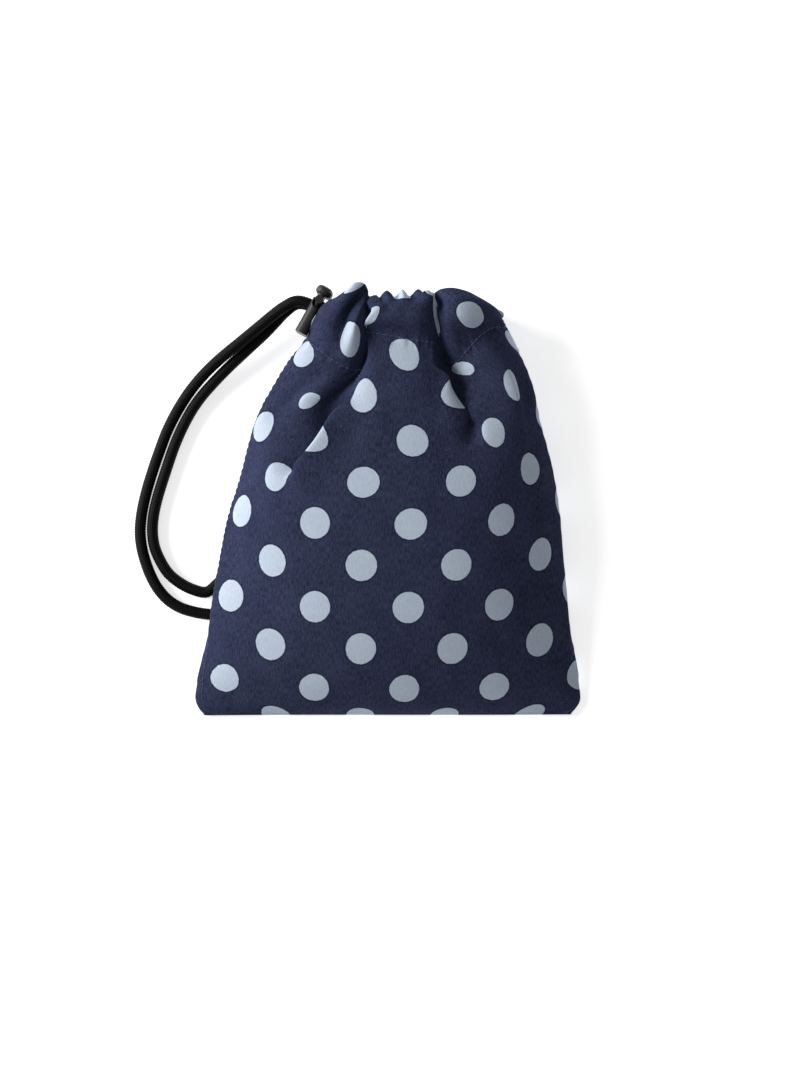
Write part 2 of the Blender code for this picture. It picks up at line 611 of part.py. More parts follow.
def lock_frame():
    """The lock's own axes: x along the button's travel, y along the cord holes, z its wide way."""
    turn = math.radians(LOCK_TURN)
    along = Vector((math.cos(turn), math.sin(turn), 0.0))
    across = Vector((-math.sin(turn), math.cos(turn), 0.0))
    return Vector((LOCK_X * WIDE, LOCK_Y * LONG, LOCK_Z)), along, across


def lock_point(x, y, z):
    centre, along, across = lock_frame()
    return centre + along * x + across * y + Vector((0.0, 0.0, z))


def lock_matrix():
    place = Matrix.Translation((LOCK_X * WIDE, LOCK_Y * LONG, LOCK_Z))
    return place @ Matrix.Rotation(math.radians(LOCK_TURN), 4, "Z")


def oval_bar(name, x0, x1, thick, wide, round_end):
    """A bar along x whose section is a flat oval: thick along y, wide along z."""
    radius = thick / 2
    flat = wide / 2 - radius
    ring = []
    for k in range(9):
        angle = math.pi * k / 8
        ring.append((math.cos(angle) * radius, flat + math.sin(angle) * radius))
    for k in range(9):
        angle = math.pi + math.pi * k / 8
        ring.append((math.cos(angle) * radius, -flat + math.sin(angle) * radius))
    sections = [(x0, 1.0), (x1, 1.0)]
    if round_end > 0.0:
        sections = [(x0, 1.0 - 2.0 * round_end / thick * 0.5), (x0 + round_end * 0.5, 1.0),
                    (x1 - round_end, 1.0), (x1 - round_end * 0.3, 1.0 - round_end / thick * 0.55),
                    (x1, 1.0 - round_end / thick * 1.6)]
    verts = []
    faces = []
    for x, size in sections:
        inset = radius * (1.0 - size)
        for y, z in ring:
            spread = math.hypot(y, abs(z) - flat) if abs(z) > flat else abs(y)
            keep = (spread - inset) / spread if spread > 1e-9 else 1.0
            if abs(z) > flat:
                z_new = math.copysign(flat + (abs(z) - flat) * keep, z)
            else:
                z_new = z
            verts.append((x, y * keep, z_new))
    count = len(ring)
    for s in range(len(sections) - 1):
        for k in range(count):
            j = (k + 1) % count
            faces.append((s * count + k, s * count + j, (s + 1) * count + j, (s + 1) * count + k))
    faces.append(tuple(reversed(range(count))))
    faces.append(tuple((len(sections) - 1) * count + k for k in range(count)))
    return solid_object(name, verts, faces, material(name + "_draft", "2b2a2b", 0.5, 0.0))


def slot_cutter(name, x0, x1, z, radius, y0, y1):
    """A cutter along y with round ends between two places along x."""
    ring = []
    for k in range(9):
        angle = -math.pi / 2 + math.pi * k / 8
        ring.append((x1 + math.cos(angle) * radius, z + math.sin(angle) * radius))
    for k in range(9):
        angle = math.pi / 2 + math.pi * k / 8
        ring.append((x0 + math.cos(angle) * radius, z + math.sin(angle) * radius))
    if abs(x1 - x0) < 1e-9:
        ring = [(x0 + math.cos(2 * math.pi * k / 18) * radius, z + math.sin(2 * math.pi * k / 18) * radius)
                for k in range(18)]
    verts = [(x, y0, zz) for x, zz in ring] + [(x, y1, zz) for x, zz in ring]
    count = len(ring)
    faces = [(k, (k + 1) % count, count + (k + 1) % count, count + k) for k in range(count)]
    faces.append(tuple(reversed(range(count))))
    faces.append(tuple(count + k for k in range(count)))
    obj = solid_object(name, verts, faces, material(name + "_draft", "2b2a2b", 0.5, 0.0))
    return obj


def boss_bar(name, x0, x1, y, radius, z0, z1):
    """A round peg or slot along z with round ends between two places along x."""
    ring = []
    for k in range(9):
        angle = -math.pi / 2 + math.pi * k / 8
        ring.append((x1 + math.cos(angle) * radius, y + math.sin(angle) * radius))
    for k in range(9):
        angle = math.pi / 2 + math.pi * k / 8
        ring.append((x0 + math.cos(angle) * radius, y + math.sin(angle) * radius))
    if abs(x1 - x0) < 1e-9:
        ring = [(x0 + math.cos(2 * math.pi * k / 20) * radius, y + math.sin(2 * math.pi * k / 20) * radius)
                for k in range(20)]
    verts = [(x, yy, z0) for x, yy in ring] + [(x, yy, z1) for x, yy in ring]
    count = len(ring)
    faces = [(k, (k + 1) % count, count + (k + 1) % count, count + k) for k in range(count)]
    faces.append(tuple(reversed(range(count))))
    faces.append(tuple(count + k for k in range(count)))
    return solid_object(name, verts, faces, material(name + "_draft", "2b2a2b", 0.5, 0.0))


def carve(target, tool, operation):
    change = target.modifiers.new("carve", "BOOLEAN")
    change.operation = operation
    change.solver = "EXACT"
    change.object = tool
    bpy.context.view_layer.update()
    graph = bpy.context.evaluated_depsgraph_get()
    mesh = bpy.data.meshes.new_from_object(target.evaluated_get(graph))
    old = target.data
    target.modifiers.clear()
    target.data = mesh
    bpy.data.meshes.remove(old)
    bpy.data.objects.remove(tool)
    work = bmesh.new()
    work.from_mesh(target.data)
    bmesh.ops.remove_doubles(work, verts=work.verts, dist=2e-6)
    bmesh.ops.dissolve_degenerate(work, dist=1e-6, edges=work.edges)
    work.to_mesh(target.data)
    work.free()


def finish_plastic(obj, colour):
    obj.data.materials.clear()
    obj.data.materials.append(colour)
    for face in obj.data.polygons:
        face.use_smooth = False


def make_lock(colour):
    hole = CORD_R + CORD_GAP
    rim = HOLE_FROM_RIM
    wide = STRAND_PITCH + 2.0 * (hole + LOCK_WALL + LOCK_FIT + 0.0008)
    inner_thick = LOCK_THICK - 2.0 * LOCK_WALL
    inner_wide = wide - 2.0 * LOCK_WALL
    foot = rim - LOCK_LENGTH
    body = oval_bar("lock_body", foot, rim, LOCK_THICK, wide, 0.0)
    carve(body, oval_bar("cavity", foot + LOCK_WALL, rim + 0.002, inner_thick, inner_wide, 0.0), "DIFFERENCE")
    for side in (-0.5, 0.5):
        carve(body, slot_cutter("hole", 0.0, 0.0, side * STRAND_PITCH, hole, -LOCK_THICK, LOCK_THICK),
              "DIFFERENCE")
    peg = BOSS_DIAMETER / 2
    peg_y = 0.0
    stem_thick = inner_thick - 2.0 * LOCK_FIT
    stem_wide = inner_wide - 2.0 * LOCK_FIT
    peg_low = stem_wide / 2 - 0.0012
    carve(body, boss_bar("notch", rim - BUTTON_TRAVEL, rim + 0.004, peg_y, peg + LOCK_FIT,
                         peg_low - LOCK_FIT, wide / 2 + 0.001), "DIFFERENCE")
    finish_plastic(body, colour)
    body.matrix_world = lock_matrix()
    stem_foot = -(hole + 0.0012)
    top = rim + BUTTON_STAND
    button = oval_bar("lock_button", stem_foot, top + BUTTON_HEAD / 2, stem_thick, stem_wide, 0.0)
    head = oval_bar("head", top, top + BUTTON_HEAD, BUTTON_HEAD_THICK, wide - 0.0012, BUTTON_HEAD * 0.42)
    carve(button, head, "UNION")
    carve(button, boss_bar("peg", rim, rim, peg_y, peg, peg_low, wide / 2 - 0.0001), "UNION")
    for side in (-0.5, 0.5):
        carve(button, slot_cutter("slot", 0.0, BUTTON_TRAVEL, side * STRAND_PITCH, hole,
                                  -LOCK_THICK, LOCK_THICK), "DIFFERENCE")
    finish_plastic(button, colour)
    button.matrix_world = lock_matrix()
    return foot, stem_foot, inner_thick


def make_spring(foot, stem_foot, inner_thick, colour):
    """A coil spring between the barrel's floor and the button's foot."""
    wire = WIRE_DIAMETER / 2
    radius = inner_thick / 2 - wire - LOCK_FIT
    start = foot + LOCK_WALL + LOCK_FIT + wire
    end = stem_foot - LOCK_FIT - wire
    steps = SPRING_COILS * 12
    points = []
    for k in range(steps + 1):
        angle = 2.0 * math.pi * k / 12
        points.append(tuple(lock_point(start + (end - start) * k / steps,
                                       radius * math.cos(angle), radius * math.sin(angle))))
    tube("lock_spring", points, WIRE_DIAMETER, 1, colour)


def run_route(share_points, z, hole_z):
    """A cord run in a casing, from its caught end to the right face of the lock."""
    route = [np.array([x * WIDE * MM, y * LONG * MM, zz]) for x, y, zz in share_points(z, hole_z)]
    return route


def front_run_points(z, hole_z):
    return ((36.5, 72.4, z), (28.0, 72.8, z), (18.0, 73.2, z), (6.0, 73.3, z), (-6.0, 73.2, z),
            (-14.0, 73.0, z - 0.0002), (-19.0, 73.0, z - 0.0008), (-22.5, 73.6, (z * 2 + hole_z) / 3))


def back_run_points(z, hole_z):
    return ((36.5, 72.4, z), (28.0, 72.8, z), (18.0, 73.2, z), (6.0, 73.3, z), (-6.0, 73.2, z),
            (-14.0, 73.0, z), (-19.0, 73.0, z + 0.0005), (-22.5, 73.6, (z * 2 + hole_z) / 3))


def make_runs(colour):
    """The two runs of the cord inside the casings, into the lock's holes."""
    for name, points, z, side in (("drawcord_front_run", front_run_points, FRONT_CORD_Z, 0.5),
                                  ("drawcord_back_run", back_run_points, BACK_CORD_Z, -0.5)):
        hole_z = LOCK_Z + side * STRAND_PITCH
        route = run_route(points, z, hole_z)
        route.append(np.array(lock_point(0.0, -LOCK_THICK * 0.5 - 0.0006, side * STRAND_PITCH)))
        route.append(np.array(lock_point(0.0, -LOCK_THICK * 0.22, side * STRAND_PITCH)))
        route.append(np.array(lock_point(0.0, -CORD_GAP / 2, side * STRAND_PITCH)))
        tube(name, even_route(route, CORD_DIAMETER * 0.7), CORD_DIAMETER, 2, colour)


# The free loop's route from the lock down the left, under the pouch's left edge and back: across,
# up and the rise over the cord's height on the table, in millimetres.
LOOP_OUT = (
    (-34.6, 78.7, 12.9), (-39.2, 77.3, 12.1), (-45.0, 73.6, 10), (-51.3, 68.6, 8.3),
    (-59.4, 62.2, 6.3), (-67.4, 55.8, 4.3), (-74.3, 49.2, 2.5), (-80.0, 42.2, 1.2),
    (-84.3, 35.4, 0.5), (-88.1, 27.9, 0.2), (-91.3, 19.5, 0.05), (-94.3, 10.7, 0),
    (-96.7, 2.4, 0), (-98.3, -5.2, 0), (-98.9, -11.6, 0), (-98.3, -18.4, 0),
    (-96.6, -24.8, 0), (-93.8, -31.6, 0), (-90.2, -37.1, 0), (-85.8, -41.0, 0),
    (-80.6, -43.5, 0), (-75.8, -44.6, 0),
)
LOOP_TURN = (
    (-66.0, -45.4, 0), (-59.0, -44.0, 0), (-54.0, -39.8, 0), (-52.6, -33.8, 0),
    (-55.2, -28.4, 0), (-60.4, -27.0, 0), (-66.0, -30.8, 0),
)
LOOP_BACK = (
    (-70.0, -35.0, 0), (-72.9, -36.5, 0), (-76.4, -35.9, 0), (-80.3, -34.2, 0),
    (-84.4, -31.8, 0), (-88.2, -28.2, 0), (-91.0, -23.6, 0), (-93.2, -18.2, 0),
    (-94.0, -12.5, 0), (-93.6, -6.0, 0), (-92.1, 1.0, 0), (-90.0, 7.8, 0),
    (-87.4, 15.8, 0.1), (-84.4, 24.0, 0.2), (-80.9, 31.5, 0.3), (-76.4, 39.0, 0.7),
    (-70.0, 46.6, 1.5), (-62.9, 53.7, 2.5), (-55.2, 60.8, 3.3), (-48.2, 67.2, 4.2),
    (-43.0, 72.6, 4.9), (-38.9, 76.5, 5.4), (-34.6, 78.4, 5.6),
)


def make_loop(colour):
    """The free loop of the drawcord, from one hole of the lock round to the other."""
    face = LOCK_THICK * 0.42
    route = [np.array(lock_point(0.0, face, 0.5 * STRAND_PITCH))]
    for x, y, rise in LOOP_OUT + LOOP_TURN + LOOP_BACK:
        route.append(np.array([x * WIDE * MM, y * LONG * MM, CORD_R + TABLE_GAP + rise * MM]))
    route.append(np.array(lock_point(0.0, face, -0.5 * STRAND_PITCH)))
    start = np.array(lock_point(0.0, CORD_GAP / 2, 0.5 * STRAND_PITCH))
    end = np.array(lock_point(0.0, CORD_GAP / 2, -0.5 * STRAND_PITCH))
    route = np.concatenate([[start], even_route(route, CORD_DIAMETER * 1.3), [end]])
    tube("drawcord_loop", route, CORD_DIAMETER, 2, colour)


def clear_scene():
    for obj in list(bpy.data.objects):
        bpy.data.objects.remove(obj)


def build():
    clear_scene()
    denim = material("dark_denim_cloth", "2b2f4a", 0.85, 0.0)
    denim_back = material("dark_denim_cloth_back", "282c46", 0.85, 0.0)
    braid = material("black_braided_cord", "141414", 0.75, 0.0)
    plastic = material("dark_grey_plastic", "2b2a2b", 0.42, 0.0)
    steel = material("spring_steel", "b8bcc0", 0.3, 1.0)
    share = columns(STITCH, SPLIT_COLUMNS)
    grid, inward, stitch_row = front_grid(share, 7)
    panel_solid("front_panel", grid, inward, stitch_row, denim)
    share = back_columns()
    grid, inward, stitch_row = back_grid(share, 6)
    panel_solid("back_panel", grid, inward, stitch_row, denim_back)
    foot, stem_foot, inner_thick = make_lock(plastic)
    make_spring(foot, stem_foot, inner_thick, steel)
    make_runs(braid)
    make_loop(braid)
    centre_on_origin()


def centre_on_origin():
    """Puts the middle of the pouch and its lock over the origin; the free cord isn't counted."""
    bpy.context.view_layer.update()
    low = Vector((1.0, 1.0))
    high = Vector((-1.0, -1.0))
    for obj in bpy.data.objects:
        if obj.type != "MESH":
            continue
        for corner in obj.data.vertices:
            place = obj.matrix_world @ corner.co
            low = Vector((min(low.x, place.x), min(low.y, place.y)))
            high = Vector((max(high.x, place.x), max(high.y, place.y)))
    shift = Matrix.Translation((-(low.x + high.x) / 2, -(low.y + high.y) / 2, 0.0))
    for obj in bpy.data.objects:
        obj.matrix_world = shift @ obj.matrix_world
    print("moved by", [round(v, 6) for v in shift.translation])


def back_columns():
    even = np.linspace(-0.5, 0.5, BACK_COLUMNS)
    edge = np.array([-0.494, -0.485, 0.485, 0.494])
    return np.unique(np.round(np.concatenate([even, edge]), 4))


build()
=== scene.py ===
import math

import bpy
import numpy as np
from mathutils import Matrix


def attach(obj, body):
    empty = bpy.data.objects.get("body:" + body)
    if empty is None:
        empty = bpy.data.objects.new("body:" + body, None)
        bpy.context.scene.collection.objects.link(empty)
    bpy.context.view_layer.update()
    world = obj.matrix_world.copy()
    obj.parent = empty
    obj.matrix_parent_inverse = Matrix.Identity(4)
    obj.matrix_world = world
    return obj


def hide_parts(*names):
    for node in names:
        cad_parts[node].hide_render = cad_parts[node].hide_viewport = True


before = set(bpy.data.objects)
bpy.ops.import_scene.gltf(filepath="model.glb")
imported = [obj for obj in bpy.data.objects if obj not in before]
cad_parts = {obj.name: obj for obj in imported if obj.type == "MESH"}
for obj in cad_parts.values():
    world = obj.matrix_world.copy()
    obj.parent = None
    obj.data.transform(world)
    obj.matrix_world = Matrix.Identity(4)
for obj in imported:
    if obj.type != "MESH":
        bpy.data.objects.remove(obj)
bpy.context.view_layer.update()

# %% [markdown]
# # A drawstring pouch of dotted denim
# The pouch is two denim panels sewn together at the sides and along the bottom. Each panel's top
# edge is folded over and stitched down, and this channel holds a braided cord. The cord leaves at
# the left through a spring cord lock. This lesson dresses the measured model: the cloth panels and
# the cord are worked out again as fine surfaces, and the lock keeps its own solids.

MM = 0.001
# How far the build moved the solids from the places in the part's source.
SHIFT = np.array([-0.000070, 0.000354, 0.0])


# %% [markdown]
# ## The camera
# The photograph looks straight down on the pouch, so the camera hangs over it and looks along -Z.
# A lens of 85 mm about a metre away gives the same mild perspective as a product photograph.

# %% Camera
# The eye hangs over this place, in mm across and up, and this high above the table.
EYE_PLACE = (4.8, -12.8)
EYE_HEIGHT = 1007.0

camera = bpy.data.objects.new("camera", bpy.data.cameras.new("camera"))
camera.data.lens = 85.0
camera.data.sensor_width = 36.0
camera.data.clip_start = 0.05
camera.data.clip_end = 20.0
camera.location = (EYE_PLACE[0] * MM + SHIFT[0], EYE_PLACE[1] * MM + SHIFT[1], EYE_HEIGHT * MM)
bpy.context.scene.collection.objects.link(camera)
bpy.context.scene.camera = camera
print("camera height in mm:", round(camera.location.z / MM))

# %% [markdown]
# ## One function for every surface
# A surface here is a grid of points, worked out with numpy for all points at once. Neighbouring
# points become four-sided faces. The same grid carries a UV map in metres along the cloth or the
# cord, so a printed dot or a braid has its real size wherever the cloth folds.

# %% Grid to mesh
def new_piece(name, mesh):
    """A smooth object of its own for a finished mesh."""
    mesh.shade_smooth()
    mesh.update()
    piece = bpy.data.objects.new(name, mesh)
    bpy.context.scene.collection.objects.link(piece)
    return piece


def surface(name, grid, uv, wrap=False, flip=False):
    """One object from a grid of points: face (r, c) joins the points r, c and r + 1, c + 1.

    wrap joins the last column to the first and closes both ends, as on a cord."""
    rows, columns, _ = grid.shape
    index = np.arange(rows * columns).reshape(rows, columns)
    if wrap:
        index = np.concatenate([index, index[:, :1]], axis=1)
    where = np.arange(index.size).reshape(index.shape)

    def corners(table):
        quads = np.stack([table[:-1, :-1], table[:-1, 1:], table[1:, 1:], table[1:, :-1]], axis=-1)
        quads = quads.reshape(-1, 4)
        return quads[:, ::-1] if flip else quads

    faces = corners(index).tolist()
    loops = corners(where).ravel()
    if wrap:
        ends = [list(range(columns)), list(range((rows - 1) * columns, rows * columns))]
        ends[1 if flip else 0].reverse()
        faces += ends
        loops = np.concatenate([loops, np.zeros(2 * columns, int)])
    mesh = bpy.data.meshes.new(name)
    mesh.from_pydata(grid.reshape(-1, 3).tolist(), [], faces)
    layer = mesh.uv_layers.new(name="along")
    layer.data.foreach_set("uv", uv.reshape(-1, 2)[loops].ravel())
    print(name, "has", len(mesh.polygons), "faces")
    return new_piece(name, mesh)


# %% [markdown]
# ## Smooth curves through a few points
# Cloth and cord are both drawn by a few guide points. A Hermite curve passes through every guide
# point with no corner, which is how a soft thing bends.

# %% Curves
def smooth(x):
    """0 below 0, 1 above 1, and 3x^2 - 2x^3 between."""
    x = np.clip(x, 0.0, 1.0)
    return x * x * (3.0 - 2.0 * x)


def hermite(levels, rows, at):
    """A curve through rows, one row of values per level, with tangents from the neighbours."""
    levels = np.asarray(levels, float)
    rows = np.asarray(rows, float)
    shape = (-1,) + (1,) * (rows.ndim - 1)
    step = np.diff(levels).reshape(shape)
    slope = np.diff(rows, axis=0) / step
    inner = (slope[:-1] * step[1:] + slope[1:] * step[:-1]) / (step[:-1] + step[1:])
    tangent = np.concatenate([slope[:1], inner, slope[-1:]])
    at = np.clip(np.asarray(at, float), levels[0], levels[-1])
    k = np.clip(np.searchsorted(levels, at, side="right") - 1, 0, len(levels) - 2)
    width = step[k]
    t = (at - levels[k]).reshape(shape) / width
    t2 = t * t
    t3 = t2 * t
    ends = (2 * t3 - 3 * t2 + 1) * rows[k] + (3 * t2 - 2 * t3) * rows[k + 1]
    return ends + ((t3 - 2 * t2 + t) * tangent[k] + (t3 - t2) * tangent[k + 1]) * width


def length_along(points):
    """The length of the line of points up to each of them."""
    return np.concatenate([[0.0], np.cumsum(np.linalg.norm(np.diff(points, axis=0), axis=1))])


def even_route(route, spacing):
    """The smooth curve through a route's points, read at even steps along its length."""
    route = np.asarray(route, float)
    chord = length_along(route)
    dense = hermite(chord, route, np.linspace(0.0, chord[-1], 6000))
    length = length_along(dense)
    even = np.linspace(0.0, length[-1], max(int(round(length[-1] / spacing)), 2) + 1)
    return np.stack([np.interp(even, length, dense[:, k]) for k in range(3)], axis=1)


def unit(field):
    """Each vector divided by its own length."""
    return field / np.maximum(np.linalg.norm(field, axis=-1, keepdims=True), 1e-12)


# %% [markdown]
# ## The cord
# The drawcord is one round braid of 4.5 mm. Both ends are caught in the casings at the right. It
# runs through them to the left, out through the two holes of the lock, and its free loop lies on
# the table in a wide curve and turns back under the pouch. The route repeats the solids' own.

# %% Sizes at the mouth
CORD = 0.0045
CORD_R = CORD / 2
CORD_GAP = 0.0003
CORD_PLAY = 0.0003
CORD_ROOM = 0.0011
TABLE_GAP = 0.00005
CLOTH = 0.0009
BACK_FOLD = 0.0020
FRONT_FOLD = 0.0068
MOUTH_GAP = 0.0052
BACK_CORD_Z = BACK_FOLD + CLOTH + CORD_GAP + CORD_R + CORD_PLAY
BACK_HEM_Z = BACK_CORD_Z + CORD_R + CORD_GAP + CORD_PLAY
FRONT_HEM_Z = BACK_HEM_Z + CLOTH + MOUTH_GAP
FRONT_CORD_Z = FRONT_HEM_Z + CLOTH + CORD_ROOM + CORD_GAP + CORD_R
FRONT_VALLEY_Z = FRONT_CORD_Z + CORD_R + CORD_GAP + CLOTH
SEAM_MOUTH_Z = 0.0120
LOCK_THICK = 0.0050
STRAND_PITCH = CORD + 2.0 * CORD_GAP + 0.0023
LOCK_CENTRE = np.array([-0.0285, 0.0761, (FRONT_CORD_Z + BACK_CORD_Z) / 2 - 0.0009])
LOCK_TURN = math.radians(60.8)
print("front cord's height in mm:", round(FRONT_CORD_Z / MM, 2))

# %% The cord's route
LOOP_OUT = (
    (-34.6, 78.7, 12.9), (-39.2, 77.3, 12.1), (-45.0, 73.6, 10.0), (-51.3, 68.6, 8.3),
    (-59.4, 62.2, 6.3), (-67.4, 55.8, 4.3), (-74.3, 49.2, 2.5), (-80.0, 42.2, 1.2),
    (-84.3, 35.4, 0.5), (-88.1, 27.9, 0.2), (-91.3, 19.5, 0.05), (-94.3, 10.7, 0),
    (-96.7, 2.4, 0), (-98.3, -5.2, 0), (-98.9, -11.6, 0), (-98.3, -18.4, 0),
    (-96.6, -24.8, 0), (-93.8, -31.6, 0), (-90.2, -37.1, 0), (-85.8, -41.0, 0),
    (-80.6, -43.5, 0), (-75.8, -44.6, 0),
)
LOOP_TURN = (
    (-66.0, -45.4, 0), (-59.0, -44.0, 0), (-54.0, -39.8, 0), (-52.6, -33.8, 0),
    (-55.2, -28.4, 0), (-60.4, -27.0, 0), (-66.0, -30.8, 0),
)
LOOP_BACK = (
    (-70.0, -35.0, 0), (-72.9, -36.5, 0), (-76.4, -35.9, 0), (-80.3, -34.2, 0),
    (-84.4, -31.8, 0), (-88.2, -28.2, 0), (-91.0, -23.6, 0), (-93.2, -18.2, 0),
    (-94.0, -12.5, 0), (-93.6, -6.0, 0), (-92.1, 1.0, 0), (-90.0, 7.8, 0),
    (-87.4, 15.8, 0.1), (-84.4, 24.0, 0.2), (-80.9, 31.5, 0.3), (-76.4, 39.0, 0.7),
    (-70.0, 46.6, 1.5), (-62.9, 53.7, 2.5), (-55.2, 60.8, 3.3), (-48.2, 67.2, 4.2),
    (-43.0, 72.6, 4.9), (-38.9, 76.5, 5.4), (-34.6, 78.4, 5.6),
)


def lock_point(along, across, up):
    """A place in the lock: along its button's travel, across the cord holes, and up."""
    c, s = math.cos(LOCK_TURN), math.sin(LOCK_TURN)
    return LOCK_CENTRE + np.array([along * c - across * s, along * s + across * c, up])


def loop_route():
    """From the upper hole's middle round the free loop to the lower hole's middle."""
    face = LOCK_THICK * 0.42
    route = [lock_point(0.0, face, STRAND_PITCH / 2)]
    lying = CORD_R + TABLE_GAP
    route += [np.array([x * MM, y * MM, lying + rise * MM])
              for x, y, rise in LOOP_OUT + LOOP_TURN + LOOP_BACK]
    route.append(lock_point(0.0, face, -STRAND_PITCH / 2))
    first = lock_point(0.0, CORD_GAP / 2, STRAND_PITCH / 2)
    last = lock_point(0.0, CORD_GAP / 2, -STRAND_PITCH / 2)
    return np.concatenate([[first], even_route(route, CORD * 1.3), [last]]) + SHIFT


def run_route(z, side, rise):
    """A run inside a casing, from its caught end to the lock."""
    hole = LOCK_CENTRE[2] + side * STRAND_PITCH
    points = ((36.5, 72.4, z), (28.0, 72.8, z), (18.0, 73.2, z), (6.0, 73.3, z), (-6.0, 73.2, z),
              (-14.0, 73.0, z), (-19.0, 73.0, z + rise), (-22.5, 73.6, (z * 2 + hole) / 3))
    route = [np.array([x * MM, y * MM, up]) for x, y, up in points]
    route += [lock_point(0.0, -across, side * STRAND_PITCH)
              for across in (LOCK_THICK * 0.5 + 0.0006, LOCK_THICK * 0.22, CORD_GAP / 2)]
    return np.asarray(route) + SHIFT


# %% [markdown]
# ### Braid
# A braid is two sets of strands that wind round in opposite directions and pass over and under each
# other. The product of two waves, one for each direction, gives the same lattice of small bumps.

# %% Braided tube
BRAID_STRANDS = 8
BRAID_PICK = 0.0021
BRAID_RELIEF = 0.00016


def frames(path):
    """Two vectors across the path at each point, both at right angles to it and to each other."""
    along = unit(np.gradient(path, axis=0))
    up = np.array([0.0, 0.0, 1.0])
    side = np.cross(along, up)
    blind = np.linalg.norm(side, axis=1) < 0.05
    side[blind] = np.array([1.0, 0.0, 0.0])
    side = unit(side)
    return side, unit(np.cross(side, along))


def braided_cord(name, route, step=0.0004, sides=48):
    """Radius R + h * cos(n a + k s) * cos(n a - k s) at angle a and length s along the route."""
    path = even_route(route, step)
    side, up = frames(path)
    angle = np.linspace(0.0, 2.0 * math.pi, sides, endpoint=False)
    length = length_along(path)
    wave = BRAID_STRANDS * angle[None, :]
    turn = (2.0 * math.pi * length / BRAID_PICK)[:, None]
    relief = np.cos(wave + turn) * np.cos(wave - turn)
    radius = CORD_R - BRAID_RELIEF * 0.5 + BRAID_RELIEF * relief
    ring = np.cos(angle)[None, :, None] * side[:, None] + np.sin(angle)[None, :, None] * up[:, None]
    grid = path[:, None] + ring * radius[:, :, None]
    around = np.linspace(0.0, 2.0 * math.pi * CORD_R, sides + 1)
    uv = np.stack(np.broadcast_arrays(length[:, None], around[None, :]), axis=2)
    print(name, "is", round(length[-1] / MM, 1), "mm long")
    return surface(name, grid, uv, wrap=True, flip=True), path, length[-1]


cord_loop, loop_path, loop_length = braided_cord("braided_cord_loop", loop_route())
front_run, _, _ = braided_cord("braided_cord_front_run", run_route(FRONT_CORD_Z, 0.5, -0.0008))
back_run, _, _ = braided_cord("braided_cord_back_run", run_route(BACK_CORD_Z, -0.5, 0.0005))
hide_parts("drawcord_loop")
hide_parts("drawcord_front_run")
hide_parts("drawcord_back_run")
for piece in (cord_loop, front_run, back_run):
    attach(piece, "pouch")

# %% [markdown]
# ## The cloth
# Each panel is one piece of cloth, drawn by rows at known heights on the flat panel. Below, the
# rows are smooth arches from seam to seam, because the bag is filled a little. Above, the cord
# gathers the cloth, and guide points say where each column of cloth comes to lie in the folds.

# %% Sizes of the panels
PANEL_WIDE = 163.2
CREST_LEVEL = 180.8
CASING_DEPTH = 25.2
STITCH_LEVEL = CREST_LEVEL - CASING_DEPTH
CASING_LEVEL = STITCH_LEVEL + 10.0
COLLAR_LEVEL = STITCH_LEVEL + 17.6
SEW_GAP = 0.3
HEM_GAP = 0.0004
HEM_END_GAP = 0.0005
SLIT_BACK = 0.0070
print("flat panel in mm:", PANEL_WIDE, "x", CREST_LEVEL + CASING_DEPTH)

# %% [markdown]
# ### Where the folds lie
# The places were read on a fine grid over the photograph, and some were then moved until the
# folds looked right. One square is 0.4 mm at the table and stands for less the nearer the
# cloth lies to the eye. A row holds the place on the flat cloth, the place seen across and down,
# the height in mm, and the fold from 0, a valley, to 1, a crest.

# %% Readings of the folds
GRID = 0.4
GRID_MIDDLE = (400.0, 533.0)
FLAT_MIDDLE = 394.0
FLAT_WIDE = 408.0
FLAT_BOTTOM = 730.0
STITCH = (
    (190, 305.5, 339.5, 12, 0.00), (207, 308, 341.5, 17, 0.10), (222.7, 311, 345, 21, 0.45),
    (238, 320, 352, 22.5, 0.65), (254, 332, 360, 23.5, 0.75), (269.6, 344, 367, 23.5, 0.70),
    (285, 355, 371, 21, 0.40), (306, 365, 366, 19, 0.12), (323, 372.5, 355, 18, 0.02),
    (337, 376, 344, 18, 0.02), (350, 373.5, 338, 20, 0.22), (360, 367.5, 333, 22, 0.60),
    (369, 365, 332, 23, 0.80), (378, 370.5, 332.5, 24, 0.88), (389, 381.5, 334, 25, 0.94),
    (410, 405, 338, 26, 1.00), (433, 424, 341.5, 25, 0.95), (448, 434, 344, 23, 0.70),
    (460, 438, 348, 20, 0.25), (475, 441, 354, 18, 0.00), (490, 449, 358, 18, 0.00),
    (504, 457, 356.5, 19, 0.15), (527, 468, 347.5, 22, 0.55), (551, 481, 335, 24, 0.80),
    (575, 496, 327, 20, 0.55), (598, 509, 331, 12, 0.00),
)
